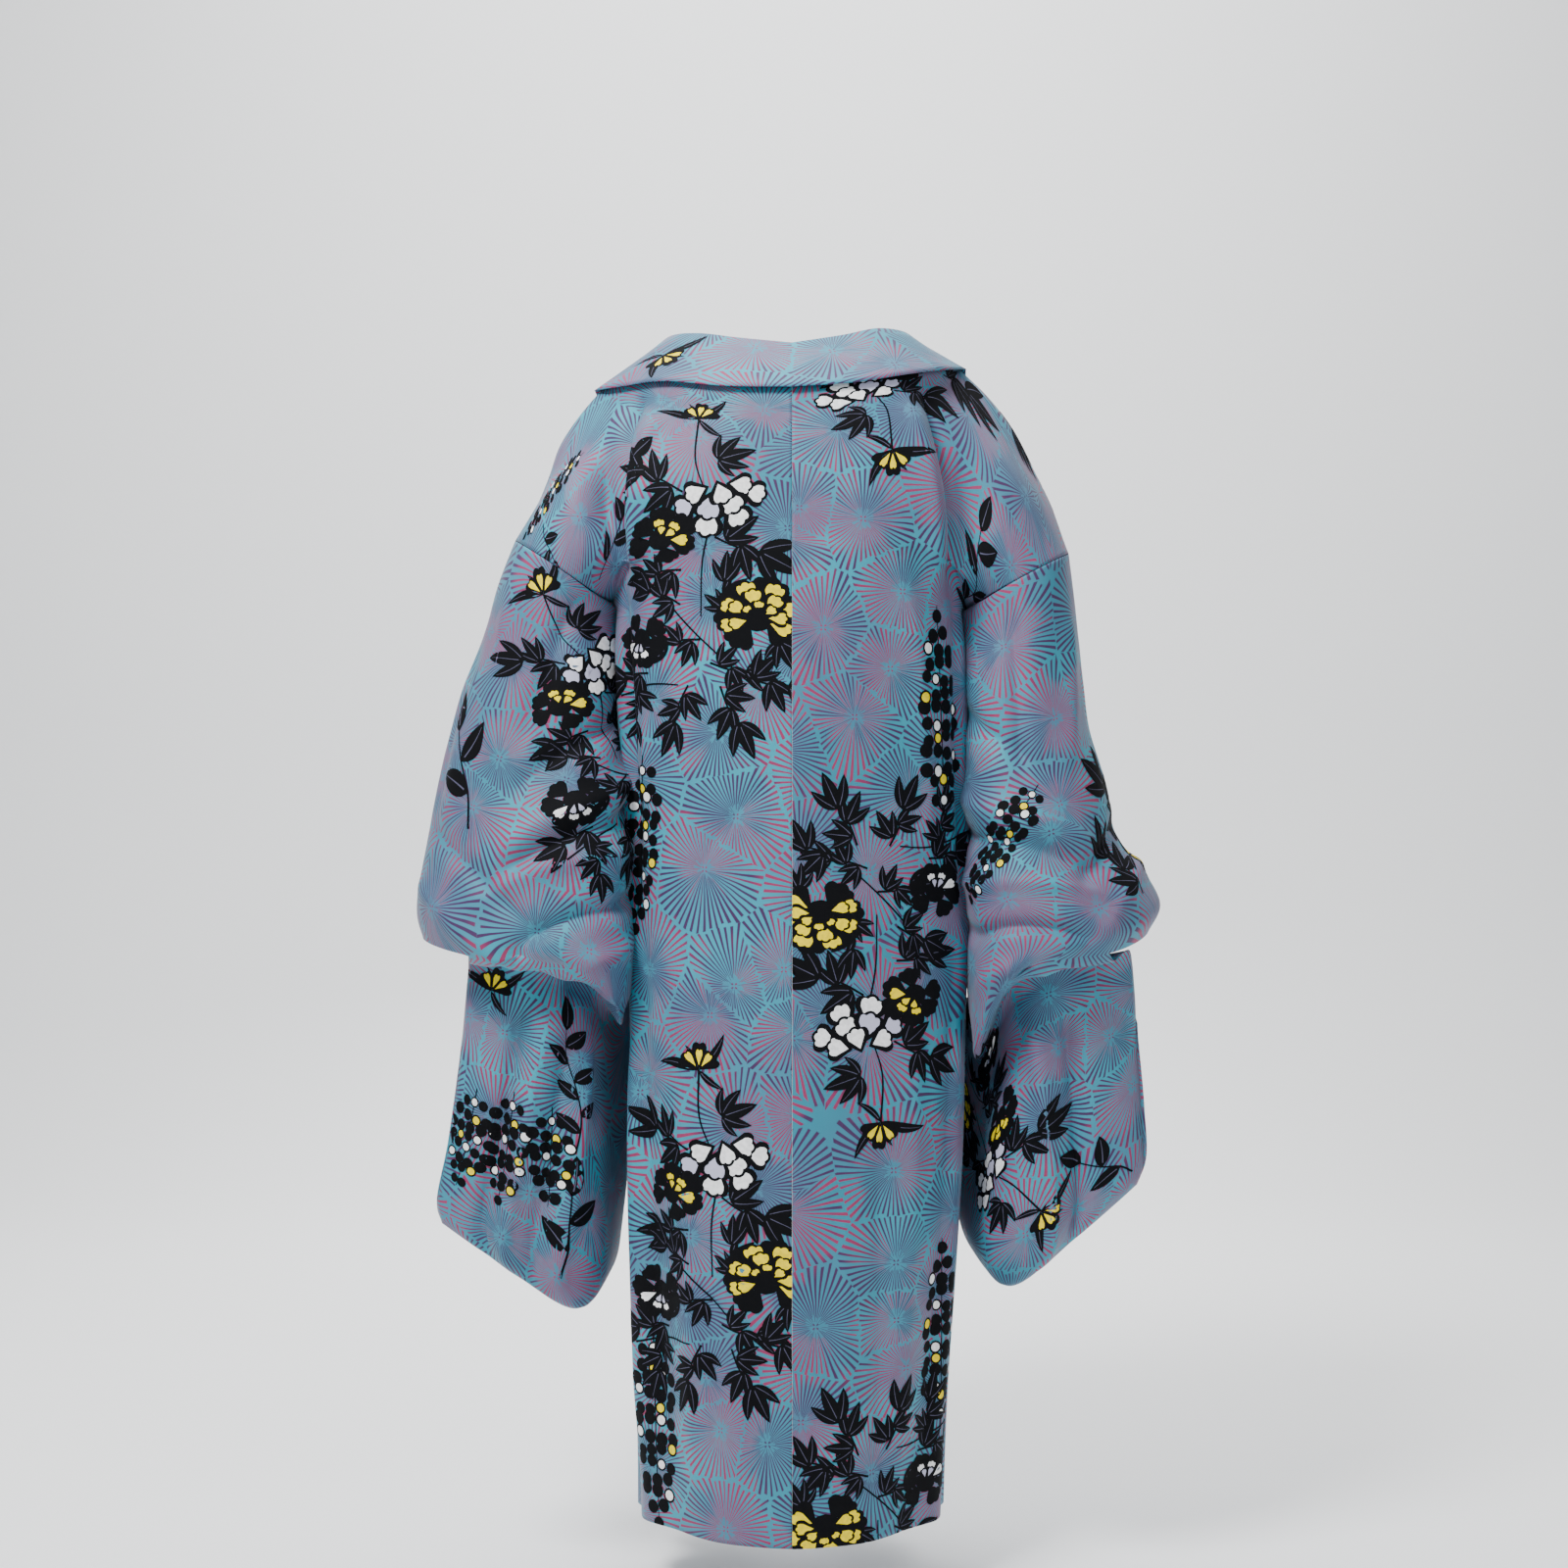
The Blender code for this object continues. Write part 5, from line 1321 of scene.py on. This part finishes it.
# ---- meshes ----------------------------------------------------------------
WELD = 1e-5                # points of cloth nearer than this become one
SECOND_SHEET = 1.7         # how far apart a second sheet lies in the cloth's coordinates


def linked(name, data):
    """An object in the scene."""
    thing = bpy.data.objects.new(name, data)
    bpy.context.scene.collection.objects.link(thing)
    return thing


def new_mesh(name, verts, faces, materials, mirrored=False):
    """A mesh from points and faces, mirrored to the other side where asked."""
    mesh = bpy.data.meshes.new(name)
    mesh.from_pydata((verts * np.array([-1.0 if mirrored else 1.0, 1, 1])).tolist(), [], faces)
    for item in materials:
        mesh.materials.append(item)
    return mesh


def mend(mesh, weld=None):
    """Drop loose points, join doubles within weld, and turn the faces outward."""
    made = bmesh.new()
    made.from_mesh(mesh)
    bmesh.ops.delete(made, geom=[vert for vert in made.verts if not vert.link_faces], context="VERTS")
    if weld:
        bmesh.ops.remove_doubles(made, verts=made.verts, dist=weld)
    bmesh.ops.recalc_face_normals(made, faces=made.faces)
    made.to_mesh(mesh)
    made.free()
    mesh.shade_smooth()


def grid_quads(sheet, start):
    """Faces of a sheet's full cells."""
    number = start + np.arange(sheet.u.size).reshape(sheet.u.shape)
    full = ~np.isnan(sheet.grid[:, :, 0])
    corners = ((slice(None, -1), slice(None, -1)), (slice(1, None), slice(None, -1)),
               (slice(1, None), slice(1, None)), (slice(None, -1), slice(1, None)))
    quads = np.stack([number[corner] for corner in corners], axis=-1)
    whole = np.all([full[corner] for corner in corners], axis=0)
    return quads[whole].tolist()


def cloth_object(name, sheets, material, mirrored):
    """The cloth of one piece as a thin wall; a second sheet lies apart in its coordinates."""
    verts, faces, places = [], [], []
    for sheet, apart, sign in zip(sheets, (0.0, SECOND_SHEET), (1, -1)):
        faces += grid_quads(sheet, len(verts))
        verts += np.nan_to_num(sheet.grid.reshape(-1, 3)).tolist()
        place = np.stack([sheet.u + apart, sign * np.broadcast_to(sheet.v, sheet.u.shape)], axis=-1)
        places += np.nan_to_num(place.reshape(-1, 2)).tolist()
    mesh = new_mesh(name, np.array(verts), faces, [material], mirrored)
    corners = np.empty(len(mesh.loops), dtype=np.int64)
    mesh.loops.foreach_get("vertex_index", corners)
    mesh.uv_layers.new(name="cloth").data.foreach_set("uv", np.array(places)[corners].ravel())
    mend(mesh, WELD)
    thing = linked(name, mesh)
    wall = thing.modifiers.new("wall", "SOLIDIFY")
    wall.thickness, wall.offset = SHELL, 0.0
    return thing


def print_object(name, laid, materials, mirrored):
    """All the prints of one piece as one object."""
    verts, faces, slots = [], [], []
    for spots, triangles, shades in laid:
        faces += [[corner + len(verts) for corner in face] for face in triangles]
        verts += spots.tolist()
        slots += shades
    mesh = new_mesh(name, np.array(verts), faces, materials, mirrored)
    mesh.polygons.foreach_set("material_index", slots)
    mend(mesh)
    return linked(name, mesh)


# ---- the jacket ------------------------------------------------------------
# Where each piece lies in the dyed cloth, so that their stars differ.
BODY_CLOTH = {"left": (0.03, 0.0), "right": (2.41, 0.55)}
SLEEVE_CLOTH = (5.2, 0.3)  # from the body's place
COLLAR_CLOTH = (9.3, 0.2)


def make_stretches():
    """Every stretch of cloth with its creases: the sheet, if it is mirrored, its piece."""
    made = {}
    for side in ("left", "right"):
        back, front = body_sheets(side)
        back.crease(BACK_CREASES[side], back.edge_hold() * smooth_step(back.v / ROW_HOLD))
        front.crease(FRONT_CREASES[side], front.edge_hold() * smooth_step(front.v / ROW_HOLD))
        sleeve = sleeve_sheet(side)
        lean_in(sleeve)
        below = smooth_step((sleeve.v[-1, 0] - sleeve.v) / ROW_HOLD)
        hold_ends = smooth_step(sleeve.v / SLEEVE_HOLD) * below
        sleeve.crease(SLEEVE_CREASES[side], sleeve.edge_hold(SLEEVE_HOLD) * hold_ends)
        for part, sheet, piece in (("back", back, "body"), ("front", front, "body"),
                                   ("sleeve", sleeve, "sleeve")):
            made[part + "_" + side] = (sheet, side == "right", piece + "_" + side)
    made["collar"] = (collar_sheet(), False, "collar")
    return made


def lay_all(stretches):
    """Every print on its stretch, gathered for each piece of the jacket."""
    gathered = {}
    for order, (name, design, place, angle, size) in enumerate(PRINTS + HIDDEN_PRINTS, 1):
        sheet, mirrored, piece = stretches[name]
        spot = cloth_spot(sheet, mirrored, place) if order <= len(PRINTS) else (*place, 0.0, 1.0)
        lift = SHELL / 2 + PRINT_LIFT + LAYER_LIFT * (order % LAYERS)
        laid = lay_print(DESIGNS[design], sheet, spot, angle, size, lift)
        if laid[1]:
            gathered.setdefault(piece, []).append(laid)
    return gathered


def make_cloth(stretches):
    """The cloth objects by the names of the solids that they stand for."""
    pieces = {}
    for side, (u, v) in BODY_CLOTH.items():
        mirrored = side == "right"
        body_cloth = cloth_material("cloth_body_" + side, (u, v))
        sleeve_place = (u + SLEEVE_CLOTH[0], v + SLEEVE_CLOTH[1])
        sleeve_cloth = cloth_material("cloth_sleeve_" + side, sleeve_place)
        back, front, sleeve = (stretches[part + "_" + side][0] for part in ("back", "front", "sleeve"))
        for part, sheets, cloth in (("body", (back, front), body_cloth), ("sleeve", (sleeve,), sleeve_cloth),
                                    ("gusset", (gusset_sheet(side),), body_cloth)):
            name = part + "_" + side
            pieces[name] = cloth_object("cloth_" + name, sheets, cloth, mirrored)
    collar_cloth = cloth_material("cloth_collar", COLLAR_CLOTH)
    pieces["collar"] = cloth_object("cloth_collar", (stretches["collar"][0],), collar_cloth, False)
    return pieces


stretches = make_stretches()
pieces = make_cloth(stretches)

FLAT = {
    "body_left": (0.36, 2.05, 0.36), "body_right": (0.36, 2.05, 0.37),
    "sleeve_left": (0.36, 1.0, 0.30), "sleeve_right": (0.36, 1.0, 0.28),
    "gusset_left": (0.06, 0.82, 0.035), "gusset_right": (0.06, 0.82, 0.035),
    "collar": (0.14, 2.5, 0.35),
}
for name, piece in pieces.items():
    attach(piece, "root")
    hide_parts(name)
print_materials = [plain_material(*row) for row in PRINT_COLOURS]
for name, laid in lay_all(stretches).items():
    thing = print_object("print_" + name, laid, print_materials, name.endswith("right"))
    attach(thing, "root")
for name, piece in pieces.items():
    width, length, area = FLAT[name]

# ---- floor, light and camera -----------------------------------------------
FLOOR_Z = -1.13
FLOOR_TURN = 0.9           # radius of the floor's turn up
FLOOR_ENDS, FLOOR_HALF = (3.5, -1.6), 6.0   # y of its near end and of the turn; half its width
BACKDROP_TOP = 3.5
SKY, SKY_STRENGTH = (0.86, 0.90, 0.94), 0.27
LIGHTS = [                 # name, place, target, size, power, colour
    ("key", (0.85, 1.15, 1.3), (0, 0, -0.2), 0.7, 76.0, (1.0, 1.0, 1.0)),
    ("fill", (-1.6, 1.9, 0.9), (0, 0, -0.2), 1.6, 19.0, (0.97, 0.98, 1.0)),
    ("front", (0.2, -1.9, 0.3), (0, 0, -0.5), 1.6, 22.0, (1.0, 1.0, 1.0)),
    ("backdrop", (0.0, -0.9, 2.0), (0, -2.6, -0.6), 2.6, 95.0, (1.0, 1.0, 1.0)),
]


def plain_stage():
    """A pale floor that turns up softly behind."""
    turns = np.linspace(0, np.pi / 2, 17)
    near, far = FLOOR_ENDS
    profile = [(near, FLOOR_Z)]
    profile += [(far - FLOOR_TURN * np.sin(turn), FLOOR_Z + FLOOR_TURN * (1 - np.cos(turn)))
                for turn in turns]
    profile += [(far - FLOOR_TURN, BACKDROP_TOP)]
    verts = np.array([(x, y, z) for y, z in profile for x in (-FLOOR_HALF, FLOOR_HALF)])
    faces = [[2 * k, 2 * k + 1, 2 * k + 3, 2 * k + 2] for k in range(len(profile) - 1)]
    mesh = new_mesh("floor", verts, faces, [plain_material("floor", srgb(245, 246, 247), 0.8)])
    mesh.shade_smooth()
    return linked("floor", mesh)


def area_light(name, place, target, size, power, colour):
    """A round soft light turned to its target."""
    data = bpy.data.lights.new(name, "AREA")
    data.shape, data.size, data.energy, data.color = "DISK", size, power, colour
    lamp = linked(name, data)
    lamp.location = place
    lamp.rotation_euler = (Vector(target) - Vector(place)).to_track_quat("-Z", "Y").to_euler()


def photo_camera():
    """The camera at the photo's place, square to the jacket's back."""
    data = bpy.data.cameras.new("camera")
    data.lens, data.sensor_width = LENS, SENSOR
    camera = linked("camera", data)
    camera.location = CAMERA
    camera.rotation_euler = (np.pi / 2, 0.0, np.pi)
    bpy.context.scene.camera = camera


plain_stage()
for light in LIGHTS:
    area_light(*light)
world = bpy.data.worlds.new("studio")
world.use_nodes = True
sky = world.node_tree.nodes["Background"].inputs
sky["Color"].default_value = (*SKY, 1.0)
sky["Strength"].default_value = SKY_STRENGTH
bpy.context.scene.world = world
photo_camera()
